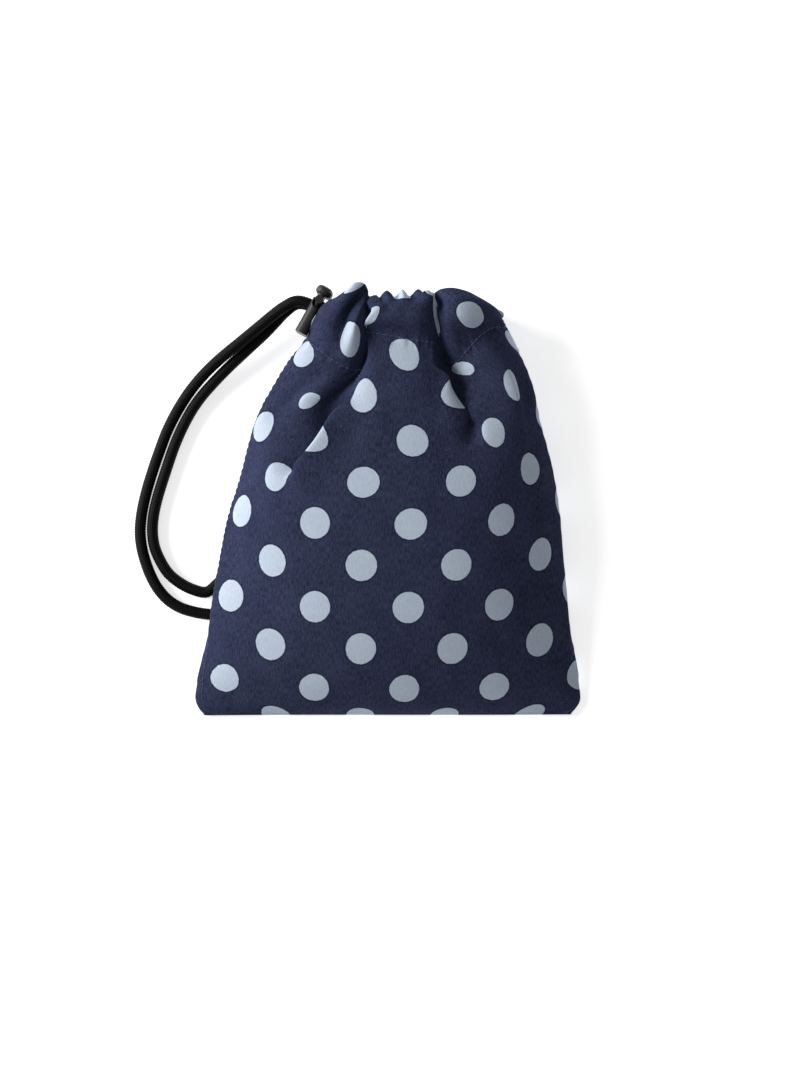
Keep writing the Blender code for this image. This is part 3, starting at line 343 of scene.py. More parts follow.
CASING = (
    (190, 313.5, 322.5, 12.5, 0.00), (207, 318, 321.5, 18, 0.25), (222.7, 323.5, 322, 22.5, 0.50),
    (238, 333, 326, 23.5, 0.65), (254, 342, 335, 23, 0.45), (269.6, 351, 339, 25, 0.75),
    (285, 360, 341, 23, 0.50), (306, 368.5, 337, 19, 0.05), (325, 376, 329, 18.5, 0.00),
    (339, 376.5, 323, 18.5, 0.06), (351, 373, 321.5, 20, 0.28), (359, 367.5, 320, 22, 0.64),
    (366, 367, 320, 23, 0.80), (379, 376, 320, 24, 0.88), (389, 384.5, 320, 25, 0.92),
    (410, 403.5, 320, 26, 1.00), (429, 421.5, 320, 26, 1.00), (439, 430, 321, 24, 0.80),
    (451, 436.5, 322, 21, 0.30), (470, 438, 325.5, 18.8, 0.00), (490, 440.5, 327, 20, 0.15),
    (504, 443, 324.5, 22, 0.50), (523, 449, 319.5, 25, 0.85), (535, 457, 317.5, 26, 0.95),
    (551, 470, 315.5, 26.5, 1.00), (566, 483, 316, 25, 0.85), (578, 492.5, 318, 22, 0.60),
    (589, 502, 321, 17, 0.25), (598, 505, 323.5, 12.5, 0.00),
)
COLLAR = (
    (190, 323.5, 307, 13, 0.00), (207, 333, 305, 20, 0.40), (222.7, 344, 300, 24, 0.65),
    (236.5, 350, 301, 23.5, 0.55), (249.5, 350.5, 306.5, 19, 0.04), (260, 351, 315, 21.5, 0.45),
    (271.5, 356, 320, 25, 0.88), (285, 362.5, 319, 22.5, 0.55), (306, 369, 311, 18.8, 0.00),
    (320.5, 373.5, 306, 18.8, 0.00), (333, 372, 305, 20, 0.20), (342, 367.5, 304.5, 22, 0.58),
    (350, 370, 304.5, 23, 0.76), (363.5, 378.5, 304.5, 25, 0.85), (387, 389.5, 304.5, 25, 0.85),
    (410, 404, 304, 26, 1.00), (429, 419, 304, 26, 0.95), (440, 427, 301.5, 25, 0.85),
    (452, 431, 302.5, 23, 0.55), (469, 433.5, 304.5, 21, 0.35), (487, 434.5, 305, 22, 0.45),
    (504, 436.5, 305, 22, 0.40), (518, 439.5, 303, 19, 0.10), (530, 446, 300.5, 25, 0.75),
    (540, 456.5, 299, 27, 1.00), (551, 469.5, 299.5, 27, 1.00),
    (575, 489.5, 306, 23, 0.65), (589, 498.5, 312.5, 18, 0.25), (598, 502, 317.5, 13, 0.00),
)
CREST = (
    (190, 337, 298.5, 13, 0.30), (207, 346, 292, 18, 0.60), (222.7, 355.5, 284, 21, 0.85),
    (237, 364.5, 285, 21, 0.80), (250.5, 368, 290.5, 20, 0.55), (269.6, 368.5, 295.5, 18, 0.40),
    (285, 369, 297, 17, 0.30), (306, 370, 297.5, 16, 0.20), (328, 370.5, 297.5, 16, 0.20),
    (345, 372, 297, 17, 0.30), (354, 373.5, 296.5, 18, 0.40), (363, 376.5, 296, 19, 0.40),
    (374.5, 380, 298, 18, 0.30), (381, 383, 294.5, 19, 0.60), (387, 387, 292, 20, 0.75),
    (393, 391, 294.5, 19, 0.60), (400, 394.5, 297.5, 18, 0.30), (410, 401.5, 290.5, 20, 0.60),
    (424, 409.5, 297, 18, 0.35), (436, 415.5, 292, 20, 0.65), (449.5, 418.5, 290.5, 21, 0.60),
    (460, 421, 291.5, 20, 0.45), (471.5, 422, 293.5, 17, 0.25), (488, 424, 292, 19, 0.45),
    (504, 428, 291, 20, 0.60), (518, 434, 293.5, 18, 0.25), (530, 441, 290, 20, 0.55),
    (540, 452, 289, 20, 0.65), (551, 466, 292, 20, 0.65), (563, 478, 297.5, 19, 0.55),
    (575, 490.5, 304.5, 18, 0.45), (589, 499.5, 311.5, 15, 0.35), (598, 504, 315.5, 13, 0.30),
)
# Down the flat cloth. Left seam: across, down, high. Right seam: the same. Middle: down, high.
BODY = (
    (730, 204, 715.5, 1.6, 570.5, 714.5, 1.6, 715, 1.6),
    (712, 198, 706, 2.0, 578.5, 703.5, 2.3, 706.5, 8.7),
    (689, 197, 689, 2.5, 579, 683.5, 3.0, 689, 15.0),
    (648, 202, 648, 4.9, 575.5, 642, 4.0, 649.5, 22.5),
    (607, 207, 607, 6.0, 571.5, 597, 5.0, 608.7, 26.8),
    (565, 215, 564, 6.6, 567, 556, 6.5, 566, 29.0),
    (524, 224, 522, 7.3, 562.5, 510, 7.5, 525, 29.9),
    (482, 237, 481, 8.5, 555, 467, 9.0, 482.5, 29.7),
)
NECK_SEAMS = (
    (441, 250, 437, 10.0, 544, 424, 10.5),
    (400, 265.5, 398, 11.0, 535.5, 385, 11.5),
    (365, 286.5, 363, 11.7, 523, 355, 11.8),
)


# %% Rows of the cloth
def placed(across, down, high):
    """Millimetres across and up for a reading on the grid, at its own height."""
    square = GRID * (1.0 - high / EYE_HEIGHT)
    x = EYE_PLACE[0] + (across - GRID_MIDDLE[0]) * square
    y = EYE_PLACE[1] - (down - GRID_MIDDLE[1]) * square
    return x, y


def curve_at(guide, share):
    """A guide's own curve in mm, read at each share of the width."""
    table = np.asarray(guide, float)
    x, y = placed(table[:, 1], table[:, 2], table[:, 3])
    flat = (table[:, 0] - FLAT_MIDDLE) / FLAT_WIDE
    return hermite(flat, np.stack([x, y, table[:, 4]], axis=1), share)


def seam_places(readings):
    """Level on the flat cloth, then the place of each seam and of the middle in mm."""
    table = np.asarray(readings, float)
    lx, ly = placed(table[:, 1], table[:, 2], table[:, 3])
    rx, ry = placed(table[:, 4], table[:, 5], table[:, 6])
    parts = [(FLAT_BOTTOM - table[:, 0]) * GRID, lx, ly, table[:, 3], rx, ry, table[:, 6]]
    if table.shape[1] > 7:
        parts += [placed(GRID_MIDDLE[0], table[:, 7], table[:, 8])[1], table[:, 8]]
    return [tuple(row) for row in np.stack(parts, axis=1)]


BODY_SEAMS = seam_places(BODY)
MOUTH_SEAMS = seam_places(NECK_SEAMS)
# How far folds are smoothed out, as shares of the width: at the stitch line, and added at the body.
PLACE_BLUR = (0.03, 0.24)
HEIGHT_BLUR = (0.02, 0.04)
SEAM_HOLD = 0.16


def side_round(share, left, right):
    """0 at the closed side edges, rising as a quarter circle to 1 within the given shares."""
    rise = np.ones_like(share)
    if left:
        rise = rise * np.sqrt(1.0 - (1.0 - np.clip((share + 0.5) / left, 0.0, 1.0)) ** 2)
    if right:
        rise = rise * np.sqrt(1.0 - (1.0 - np.clip((0.5 - share) / right, 0.0, 1.0)) ** 2)
    return rise


def arch_row(seam, share):
    """One level of the body, even along the cloth: z = edge + (top - edge)(1 - |a|^2.3)^0.72."""
    _, lx, ly, lz, rx, ry, rz, my, mz = seam

    def arch(a):
        half = (a + 1.0) / 2.0
        edge = lz + (rz - lz) * half
        return lx + (rx - lx) * half, edge + (mz - edge) * (1.0 - np.abs(a) ** 2.3) ** 0.72

    dense = np.linspace(-1.0, 1.0, 2001)
    x, z = arch(dense)
    length = np.concatenate([[0.0], np.cumsum(np.hypot(np.diff(x), np.diff(z)))])
    a = np.interp(share + 0.5, length / length[-1], dense)
    x, z = arch(a)
    y = (ly + (ry - ly) * (a + 1.0) / 2.0) * a ** 2 + my * (1.0 - a ** 2)
    return np.stack([x, y, z], axis=1) * MM


def blurred(row, share, spread):
    """The row averaged along the cloth with a bell of that spread."""
    bell = np.exp(-((share[:, None] - share[None, :]) / spread) ** 2)
    mean = bell @ row / bell.sum(axis=1, keepdims=True)
    kept = smooth((0.5 - np.abs(share)) / 0.10)[:, None]
    return row + (mean - row) * kept


def neck_row(level, low, high, seam, share):
    """A level between the smooth body and the gathered stitch line, held to the side seams."""
    t = (level - BODY_SEAMS[-1][0]) / (STITCH_LEVEL - BODY_SEAMS[-1][0])
    even = blurred(high, share, PLACE_BLUR[0] + PLACE_BLUR[1] * (1.0 - t))
    fold = blurred(high, share, HEIGHT_BLUR[0] + HEIGHT_BLUR[1] * (1.0 - t))
    high = np.concatenate([even[:, :2], fold[:, 2:]], axis=1)
    gather = smooth(t) * 0.55 + t * 0.45
    row = low + (high - low) * np.array([gather, t, gather])
    ends = np.array([seam[1:4], seam[4:7]]) * MM
    near_left = smooth(1.0 - (share + 0.5) / SEAM_HOLD)[:, None]
    near_right = smooth(1.0 - (0.5 - share) / SEAM_HOLD)[:, None]
    return row + (ends[0] - row[0]) * near_left + (ends[1] - row[-1]) * near_right


def front_rows(share):
    """The front's levels and its row of points at each, from the bottom seam to the crest."""
    levels = [seam[0] for seam in BODY_SEAMS]
    rows = [arch_row(seam, share) for seam in BODY_SEAMS]
    place = curve_at(STITCH, share)
    fold = 0.0178 + place[:, 2] * FRONT_FOLD * 1.05
    high = SEAM_MOUTH_Z + (fold - SEAM_MOUTH_Z) * side_round(share, 0.15, 0.15)
    stitch = np.stack([place[:, 0] * MM, place[:, 1] * MM, high], axis=1)
    low = rows[-1]
    for seam in MOUTH_SEAMS:
        levels.append(seam[0])
        rows.append(neck_row(seam[0], low, stitch, seam, share))
    levels.append(STITCH_LEVEL)
    rows.append(stitch)
    closed = side_round(share, 0.0, 0.17)
    for guide, level in ((CASING, CASING_LEVEL), (COLLAR, COLLAR_LEVEL), (CREST, CREST_LEVEL)):
        place = curve_at(guide, share)
        if guide is CREST:
            hem_top = FRONT_HEM_Z + CLOTH
            fold = hem_top + (FRONT_VALLEY_Z + FRONT_FOLD - hem_top) * (0.25 + 0.75 * place[:, 2])
        else:
            fold = FRONT_VALLEY_Z + np.clip(place[:, 2], 0.0, 1.05) * FRONT_FOLD
        high = SEAM_MOUTH_Z + (fold - SEAM_MOUTH_Z) * closed
        levels.append(level)
        rows.append(np.stack([place[:, 0] * MM, place[:, 1] * MM, high], axis=1))
    return levels, rows


# %% [markdown]
# ### Creases and puckers
# Real cloth also has small folds that run down from the gathers, ripples where a seam has shrunk a
# little, and a slightly wavy edge. Each is a short formula added to the height or the place.

# %% Small shapes in the cloth
PUCKER = 0.22
SEAM_PUCKER = 0.20
UNEVEN = 0.38
# Start and end of a crease as share and level, then its half width as a share and its height in mm.
CREASES = (
    ((-0.235, 108.0), (-0.225, 152.0), 0.026, -2.4),
    ((0.20, 112.0), (0.225, 158.0), 0.028, -4.2),
    ((0.135, 118.0), (0.135, 156.0), 0.020, 1.4),
    ((-0.40, 118.0), (-0.34, 150.0), 0.030, -1.6),
)


def crease(points, share, level, start, end, width, depth):
    """Height times a bell across a line on the flat cloth, fading out at both its ends."""
    along = np.clip(level, start[1], end[1])
    centre = start[0] + (end[0] - start[0]) * (along - start[1]) / (end[1] - start[1])
    fade = np.sin(math.pi * np.clip((level - start[1]) / (end[1] - start[1]), 0.0, 1.0)) ** 0.6
    points[..., 2] += depth * MM * fade * np.exp(-((share - centre) / width) ** 2)


def ripple(length, seed):
    """A smooth uneven wave along a length in mm: five sines with unlike periods and set phases."""
    draw = np.random.default_rng(seed)
    periods = draw.uniform(3.2, 9.5, 5)
    phases = draw.uniform(0.0, 2.0 * math.pi, 5)
    return sum(np.sin(2.0 * math.pi * length / p + f) for p, f in zip(periods, phases)) / 3.0


def normals(grid):
    """The direction at right angles to the grid at each point."""
    return unit(np.cross(np.gradient(grid, axis=1), np.gradient(grid, axis=0)))


def soften(field, times):
    """Each vector averaged with its four neighbours."""
    for _ in range(times):
        wide = np.pad(field, ((1, 1), (1, 1), (0, 0)), mode="edge")
        field = (wide[1:-1, 1:-1] * 2 + wide[:-2, 1:-1] + wide[2:, 1:-1]
                 + wide[1:-1, :-2] + wide[1:-1, 2:]) / 6.0
    return unit(field)


def pucker(face, share, level, seed):
    """Ripples beside the casing stitches and the side seams, and soft unevenness all over."""
    out = normals(face)
    across = share[None, :] * PANEL_WIDE
    up = level[:, None]
    stitch = np.exp(-((up - STITCH_LEVEL + 0.8) / 2.6) ** 2) * ripple(across * 1.25, seed) * PUCKER
    side = np.exp(-((0.5 - np.abs(share[None, :])) * PANEL_WIDE / 3.4) ** 2)
    side = side * ripple(up * 0.95 + across * 0.05, seed + 1) * SEAM_PUCKER * smooth((up - 3.0) / 10.0)
    soft = np.sin(across / 13.0 + 0.021 * up + 1.0) * np.sin(up / 17.0 + 0.6 + 0.013 * across)
    calm = smooth((0.5 - np.abs(share[None, :])) / 0.10) * smooth(up / 14.0)
    calm = calm * smooth((STITCH_LEVEL - up) / 24.0)
    return face + out * ((stitch + side + soft * calm * UNEVEN) * MM)[..., None]


# %% [markdown]
# ### How the cloth is drawn
# Below the drawn mouth the cloth opens out again, so its middle lies further to each side than even
# rows would put it. It also climbs where it goes round a full side seam. Both are one formula with
# a few sizes. A short list of tugs adds what single folds do. They were picked until the
# dots came to lie where the photograph has them.

# %% How the cloth is drawn
SPREAD = 6.2
SPREAD_LEVEL = 117.0
SPREAD_REACH = 40.0
CLIMB_LEFT = 5.0
CLIMB_RIGHT = 3.4
TUCK = 2.2
# Share, level, across and up in mm, then how far the tug reaches across and up in mm.
TUGS = (
    (-0.30, 134.0, -1.5, 3.2, 13.0, 14.0),
    (-0.42, 150.0, -1.0, 2.0, 10.0, 9.0),
    (-0.42, 116.0, -1.0, 1.5, 10.0, 14.0),
    (-0.20, 116.0, 0.8, -0.8, 12.0, 12.0),
    (-0.30, 99.0, -1.5, 0.5, 12.0, 12.0),
    (0.38, 132.0, 3.5, 1.5, 13.0, 14.0),
    (0.27, 116.0, -1.5, 3.0, 12.0, 12.0),
    (0.155, 134.0, -3.5, 2.0, 10.0, 10.0),
    (0.27, 143.5, -0.5, 2.2, 9.0, 5.0),
    (0.27, 155.0, -0.5, -2.2, 9.0, 6.0),
    (0.13, 167.0, 0.5, 5.5, 6.0, 7.0),
    (-0.20, 145.0, 3.0, 2.5, 7.0, 7.0),
    (-0.30, 126.0, 0.5, 1.4, 10.0, 5.0),
    (-0.30, 139.0, 0.0, -3.0, 10.0, 6.0),
    (-0.075, 134.0, -2.2, 1.5, 12.0, 12.0),
    (-0.42, 118.0, -1.8, 0.6, 9.0, 10.0),
    (0.425, 132.0, -1.8, 0.0, 5.0, 11.0),
    (0.38, 99.0, -2.0, -0.5, 12.0, 14.0),
    (0.38, 66.0, 1.5, 0.0, 12.0, 16.0),
    (0.155, 57.0, 1.0, 0.0, 30.0, 24.0),
    (-0.19, 33.0, 0.7, 0.2, 40.0, 30.0),
)
# Start and end of a fold as share and level, then its overlap, half width and height in mm. The
# cloth on the right of the line, seen from start to end, lies on top.
PLEATS = (
    ((-0.245, 105.0), (-0.165, 128.0), 5.4, 5.0, 1.6),
    ((0.193, 125.5), (0.155, 142.5), 6.0, 5.2, 1.6),
)


def pleated(face, share, level):
    """Across the line q = 0 the cloth slides by -overlap (q/w) exp(0.5 - q^2 / 2 w^2), lifted alike."""
    flat = np.stack(np.broadcast_arrays(share[None, :] * PANEL_WIDE, level[:, None]), axis=2)
    moved = face.copy()
    for start, end, overlap, half, high in PLEATS:
        a = np.array([start[0] * PANEL_WIDE, start[1]])
        b = np.array([end[0] * PANEL_WIDE, end[1]])
        length = np.linalg.norm(b - a)
        way = (b - a) / length
        side = np.array([way[1], -way[0]])
        t = ((flat - a) @ way) / length
        q = (flat - a) @ side
        fade = smooth((t + 0.40) / 0.5) * smooth((1.40 - t) / 0.5)
        wave = (q / half) * np.exp(0.5 - q ** 2 / (2.0 * half ** 2)) * fade
        moved[..., 0] -= wave * overlap * side[0] * MM
        moved[..., 1] -= wave * overlap * side[1] * MM
        moved[..., 2] += wave * high * MM
    return moved


def drawn(face, share, level):
    """Across: SPREAD sin(2 pi share) bell(level). Up: CLIMB along columns near the seams. Tugs: bells."""
    up = level[:, None]
    across = share[None, :]
    moved = face.copy()
    free = smooth(up / 12.0) * smooth((STITCH_LEVEL + 2.0 - up) / 20.0)
    along = np.gradient(face[..., :2], level, axis=0)
    lean = along[..., 0] / np.maximum(np.abs(along[..., 1]), 0.3 * MM)
    left = CLIMB_LEFT * smooth((-across - 0.20) / 0.30)
    right = CLIMB_RIGHT * smooth((across - 0.25) / 0.25)
    climb = (left + right) * free * MM
    spread = SPREAD * np.sin(2.0 * math.pi * across) * np.exp(-((up - SPREAD_LEVEL) / SPREAD_REACH) ** 2)
    moved[..., 0] += climb * lean + spread * free * MM
    moved[..., 1] += climb
    for at, high, aside, lift, wide, tall in TUGS:
        bell = np.exp(-((across - at) * PANEL_WIDE / wide) ** 2 - ((up - high) / tall) ** 2)
        bell = bell * smooth((0.5 - np.abs(across)) / 0.04)
        moved[..., 0] += aside * bell * MM
        moved[..., 1] += lift * bell * MM
    edge = (0.5 - np.abs(across)) * PANEL_WIDE
    upright = smooth((level - 14.0) / 30.0) * smooth((STITCH_LEVEL - level) / 24.0)
    moved[..., 0] -= np.sign(across) * TUCK * MM * np.exp(-(edge / TUCK) ** 2) * upright[:, None]
    return moved


# %% Front panel surface
# Shares of the width, and how far up the cord runs in the casing there, in mm.
CORD_AT = (-0.5, -0.3, -0.1, 0.16, 0.27, 0.36, 0.44, 0.5)
CORD_UP = (73.4, 72.9, 73.3, 73.2, 72.7, 72.6, 72.0, 70.9)
HEM_SPREAD = 0.0040


def edge_inward(share, level):
    """Level directions that point into the pouch near the side seams and the bottom seam."""
    x = (smooth(1.0 - (share + 0.5) / 0.045) - smooth(1.0 - (0.5 - share) / 0.045))[None, :]
    x = x + np.zeros((len(level), 1))
    y = smooth(1.0 - level / 5.0)[:, None] + x * 0.0
    weight = np.clip(np.maximum(np.abs(x), y), 0.0, 1.0)
    return unit(np.stack([x, y, np.zeros_like(x)], axis=2)), weight[..., None]


def cord_line(share):
    """How far up the cord runs in the casing, across the panel."""
    return np.interp(share, CORD_AT, CORD_UP) * MM


def hem(face, stitch_at, share, levels, rows, flat, weight, out, closed, hem_z, steps):
    """From the crest down behind the cord to the stitch line: the turned-in part of the panel."""
    inside = unit(-out * (1.0 - weight[stitch_at]) + flat[stitch_at] * weight[stitch_at])
    pressed = face[stitch_at] + inside * (2.0 * CLOTH + HEM_GAP)
    crest = face[-1]
    slit = smooth(1.0 - (share + 0.5) / 0.22) * SLIT_BACK
    middle = []
    for lift, part in ((HEM_SPREAD, 0.2), (0.0, 0.5), (-HEM_SPREAD, 0.8)):
        x = crest[:, 0] * (1.0 - part) + pressed[:, 0] * part + slit
        row = np.stack([x, cord_line(share) + lift, np.full_like(x, hem_z)], axis=1)
        across_from = STITCH_LEVEL + (0.5 + lift / (HEM_SPREAD * 4.2)) * CASING_DEPTH
        partner = hermite(levels, rows, [across_from])[0]
        partner = partner + flat[stitch_at] * (2.0 * CLOTH + HEM_END_GAP)
        middle.append(partner + (row - partner) * closed[:, None])
    spots = np.array([0.0, 0.26, 0.44, 0.62, 1.0])
    return hermite(spots, [crest] + middle + [pressed], np.linspace(0.0, 1.0, steps + 1))[1:]


def panel_levels(body_steps, casing_steps):
    """Levels of the rows: even up to the stitch line, and even again over the casing."""
    low = np.linspace(0.0, STITCH_LEVEL, body_steps + 1)[:-1]
    return np.concatenate([low, np.linspace(STITCH_LEVEL, CREST_LEVEL, casing_steps + 1)])


def front_panel(columns, body_steps, casing_steps, hem_steps):
    """The front's outer face and hem as one grid, with its place on the flat cloth."""
    share = np.linspace(-0.5, 0.5, columns)
    levels, rows = front_rows(share)
    level = panel_levels(body_steps, casing_steps)
    face = hermite(levels, rows, level)
    for start, end, width, depth in CREASES:
        crease(face, share[None, :], level[:, None], start, end, width, depth)
    face = pucker(pleated(drawn(face, share, level), share, level), share, level, 5)
    flat, weight = edge_inward(share, level)
    out = soften(normals(face), 1)[body_steps]
    closed = side_round(share, 0.0, 0.17)
    down = hem(face, body_steps, share, levels, rows, flat, weight, out, closed, FRONT_HEM_Z, hem_steps)
    return share, level, np.concatenate([face, down]) + SHIFT


def cloth_uv(share, level, hem_steps):
    """Place on the flat cloth in metres: across from the middle, and up from the bottom seam."""
    down = CREST_LEVEL + np.linspace(0.0, CASING_DEPTH, hem_steps + 1)[1:]
    up = np.concatenate([level, down]) * MM
    return np.stack(np.broadcast_arrays(share[None, :] * PANEL_WIDE * MM, up[:, None]), axis=2)


FRONT_HEM_STEPS = 16
share, front_level, front_grid = front_panel(231, 150, 28, FRONT_HEM_STEPS)
front = surface("denim_front", front_grid, cloth_uv(share, front_level, FRONT_HEM_STEPS))


# %% [markdown]
# ### The back panel
# The back lies on the table, so it is nearly flat. It curves up to the side seams, waves gently in
# the gathers, and is lifted at the lower left by the cord that lies under it.

# %% Back panel surface
LIFT_RIGHT = -0.0385
LIFT_LOW = -0.0600
LIFT_HIGH = -0.0090
# For each level of the neck: how deep the waves of the gathers are, and how far up its middle lies.
NECK_WAVES = (0.7, 1.6, 2.1)
NECK_MIDDLES = (24.0, 40.5, 53.5)
# From the stitch line to the crest: left edge across and up, right edge the same, middle up, waves.
BACK_CASING = (
    (-31.8, 63.6, 47.9, 67.0, 61.5, 1.4),
    (-26.8, 69.9, 45.9, 69.4, 69.9, 1.0),
    (-22.4, 76.4, 45.1, 71.8, 76.6, 1.0),
    (-18.5, 80.2, 45.3, 73.0, 80.6, 0.0),
)


def back_row(seam, share, gather):
    """One level of the back: flat, rounded up to the side seams, waved where it is gathered."""
    lx, ly, lz, rx, ry, rz, my = seam
    half = share + 0.5
    wave = 0.5 + 0.5 * np.sin(2.0 * math.pi * (9.0 * share + 0.6 * np.sin(4.0 * share)) + 0.7)
    x = lx + (rx - lx) * half
    y = (ly + (ry - ly) * half) * (2.0 * share) ** 2 + my * (1.0 - (2.0 * share) ** 2)
    edge = np.abs(2.0 * share) ** 7
    z = (lz + (rz - lz) * half) * edge + wave * BACK_FOLD / MM * gather * (1.0 - edge)
    return np.stack([x, y, z], axis=1) * MM


def lifted_by_loop(x, y):
    """How high the cord that lies under the pouch lifts the back."""
    lift = CORD + 2.0 * TABLE_GAP + CORD_GAP
    beside = smooth((LIFT_RIGHT - x) / 0.010)
    return lift * beside * smooth((y - LIFT_LOW) / 0.009) * smooth((LIFT_HIGH - y) / 0.009)


def back_panel(columns, body_steps, casing_steps, hem_steps):
    """The back's outer (lower) face and hem as one grid."""
    share = np.linspace(-0.5, 0.5, columns)
    levels = [seam[0] for seam in BODY_SEAMS]
    rows = [back_row((lx, ly, lz - SEW_GAP, rx, ry, rz - SEW_GAP, my), share, 0.0)
            for _, lx, ly, lz, rx, ry, rz, my, _ in BODY_SEAMS]
    rows[0][:, 2] = (BODY_SEAMS[0][3] - SEW_GAP) * MM
    rows[1][:, 2] = rows[1][:, 2] * 0.7
    for seam, wave, my in zip(MOUTH_SEAMS, NECK_WAVES, NECK_MIDDLES):
        level, lx, ly, lz, rx, ry, rz = seam
        levels.append(level)
        rows.append(back_row((lx, ly, lz - SEW_GAP, rx, ry, rz - SEW_GAP, my), share, wave))
    mouth = SEAM_MOUTH_Z / MM - SEW_GAP
    left = mouth
    for lx, ly, rx, ry, my, wave in BACK_CASING:
        rows.append(back_row((lx, ly, left, rx, ry, mouth, my), share, wave))
        left = BACK_FOLD / MM
    levels += [STITCH_LEVEL, CASING_LEVEL, COLLAR_LEVEL, CREST_LEVEL]
    closed = side_round(share, 0.0, 0.17)
    rows[-1][:, 2] = mouth * MM * (1.0 - closed) + BACK_HEM_Z * 0.45 * closed
    level = panel_levels(body_steps, casing_steps)
    face = hermite(levels, rows, level)
    face = drawn(face, share, level)
    face[..., 2] = np.maximum(face[..., 2], lifted_by_loop(face[..., 0], face[..., 1]))
    flat, weight = edge_inward(share, level)
    out = -soften(normals(face), 1)[body_steps]
    down = hem(face, body_steps, share, levels, rows, flat, weight, out, closed,
               BACK_HEM_Z + CLOTH, hem_steps)
    return share, level, np.concatenate([face, down]) + SHIFT


BACK_HEM_STEPS = 12
back_share, back_level, back_grid = back_panel(161, 110, 20, BACK_HEM_STEPS)
back = surface("denim_back", back_grid, cloth_uv(back_share, back_level, BACK_HEM_STEPS), flip=True)

# %% Cloth thickness, and the solid each panel takes the place of is hidden
for piece, solid in ((front, "front_panel"), (back, "back_panel")):
    thick = piece.modifiers.new("cloth thickness", "SOLIDIFY")
    thick.thickness = CLOTH
    thick.offset = -1.0
    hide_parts(solid)
    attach(piece, "pouch")


# %% [markdown]
# ## Sewing thread
# The casing is sewn down with navy thread, a stitch every 2.6 mm, and a second row holds the left
# seam. Each stitch is a short arched tube that dips into the cloth at both ends.

# %% Threads
THREAD = 0.00036
STITCH_PITCH = 2.6
STITCH_LONG = STITCH_PITCH * 0.86
SIDE_ROW_IN = 3.4


def on_cloth(grid, share, level, at_share, at_level):
    """Points and outward directions of a panel at places on the flat cloth."""
    out = normals(grid)
    c = np.interp(at_share, share, np.arange(len(share)))
    r = np.interp(at_level, level, np.arange(len(level)))
    c0 = np.clip(c.astype(int), 0, len(share) - 2)
    r0 = np.clip(r.astype(int), 0, len(level) - 2)
    c, r = (c - c0)[:, None], (r - r0)[:, None]

    def read(field):
        low = field[r0, c0] * (1 - c) + field[r0, c0 + 1] * c
        high = field[r0 + 1, c0] * (1 - c) + field[r0 + 1, c0 + 1] * c
        return low * (1 - r) + high * r

    return read(grid), unit(read(out))


def stitches(name, grid, share, level, starts, ends, sign=1.0, knots=9, sides=6):
    """Every stitch is a tube over its chord with height h sin(pi t)^0.5 above the cloth."""
    t = np.linspace(0.0, 1.0, knots)
    at = starts[:, None, :] * (1 - t)[None, :, None] + ends[:, None, :] * t[None, :, None]
    place, out = on_cloth(grid, share, level, at[..., 0].ravel() / PANEL_WIDE, at[..., 1].ravel())
    place = place.reshape(len(starts), knots, 3)
    out = out.reshape(len(starts), knots, 3) * sign
    height = THREAD * (1.1 * np.sqrt(np.sin(math.pi * t)) - 0.75)
    centre = place + out * height[None, :, None]
    along = unit(np.gradient(centre, axis=1))
    side = unit(np.cross(along, out))
    up = np.cross(side, along)
    angle = np.linspace(0.0, 2.0 * math.pi, sides, endpoint=False)
    ring = np.cos(angle)[:, None] * side[:, :, None] + np.sin(angle)[:, None] * up[:, :, None]
    points = centre[:, :, None] + ring * THREAD / 2
    base = (np.arange(len(starts)) * knots * sides)[:, None, None]
    k = np.arange(knots - 1)[None, :, None] * sides
    a = np.arange(sides)[None, None, :]
    b = (a + 1) % sides
    low = base + k
    high = low + sides
    quads = np.stack(np.broadcast_arrays(low + a, high + a, high + b, low + b), axis=-1)
    first = range(0, points.size // 3, knots * sides)
    caps = [list(range(s, s + sides)) for s in first]
    caps += [list(range(s + (knots - 1) * sides, s + knots * sides))[::-1] for s in first]
    mesh = bpy.data.meshes.new(name)
    mesh.from_pydata(points.reshape(-1, 3).tolist(), [], quads.reshape(-1, 4).tolist() + caps)
    print(name, "has", len(starts), "stitches")
    return new_piece(name, mesh)


def row_across(level, margin=2.0):
    """Starts and ends of stitches along one level, in mm on the flat cloth."""
    begin = np.arange(-PANEL_WIDE / 2 + margin, PANEL_WIDE / 2 - margin - STITCH_PITCH, STITCH_PITCH)
    flat = np.full_like(begin, level)
    return np.stack([begin, flat], axis=1), np.stack([begin + STITCH_LONG, flat], axis=1)


def row_up(across, low, high):
    """Starts and ends of stitches up one side, in mm on the flat cloth."""
    begin = np.arange(low, high, STITCH_PITCH)
    flat = np.full_like(begin, across)
    return np.stack([flat, begin], axis=1), np.stack([flat, begin + STITCH_LONG], axis=1)


front_face = front_grid[:len(front_level)]
back_face = back_grid[:len(back_level)]
casing_front = stitches("casing_stitches_front", front_face, share, front_level, *row_across(STITCH_LEVEL))
casing_back = stitches("casing_stitches_back", back_face, back_share, back_level,
                       *row_across(STITCH_LEVEL), sign=-1.0)
seam_stitches = stitches("side_seam_stitches", front_face, share, front_level,
                         *row_up(-PANEL_WIDE / 2 + SIDE_ROW_IN, 6.0, 148.0))
for piece in (casing_front, casing_back, seam_stitches):
    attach(piece, "pouch")


# %% [markdown]
# ## Materials
# One function adds a node with its settings and its links. Colours are written as they are seen,
# as sRGB hex values, and one function turns them to the linear values that light adds up in.

# %% Helpers for materials
def linear(hex_colour):
    """sRGB hex to linear red, green, blue and 1."""
    values = np.array([int(hex_colour[k:k + 2], 16) for k in (0, 2, 4)]) / 255.0
    bright = ((values + 0.055) / 1.055) ** 2.4
    return (*np.where(values <= 0.04045, values / 12.92, bright).tolist(), 1.0)


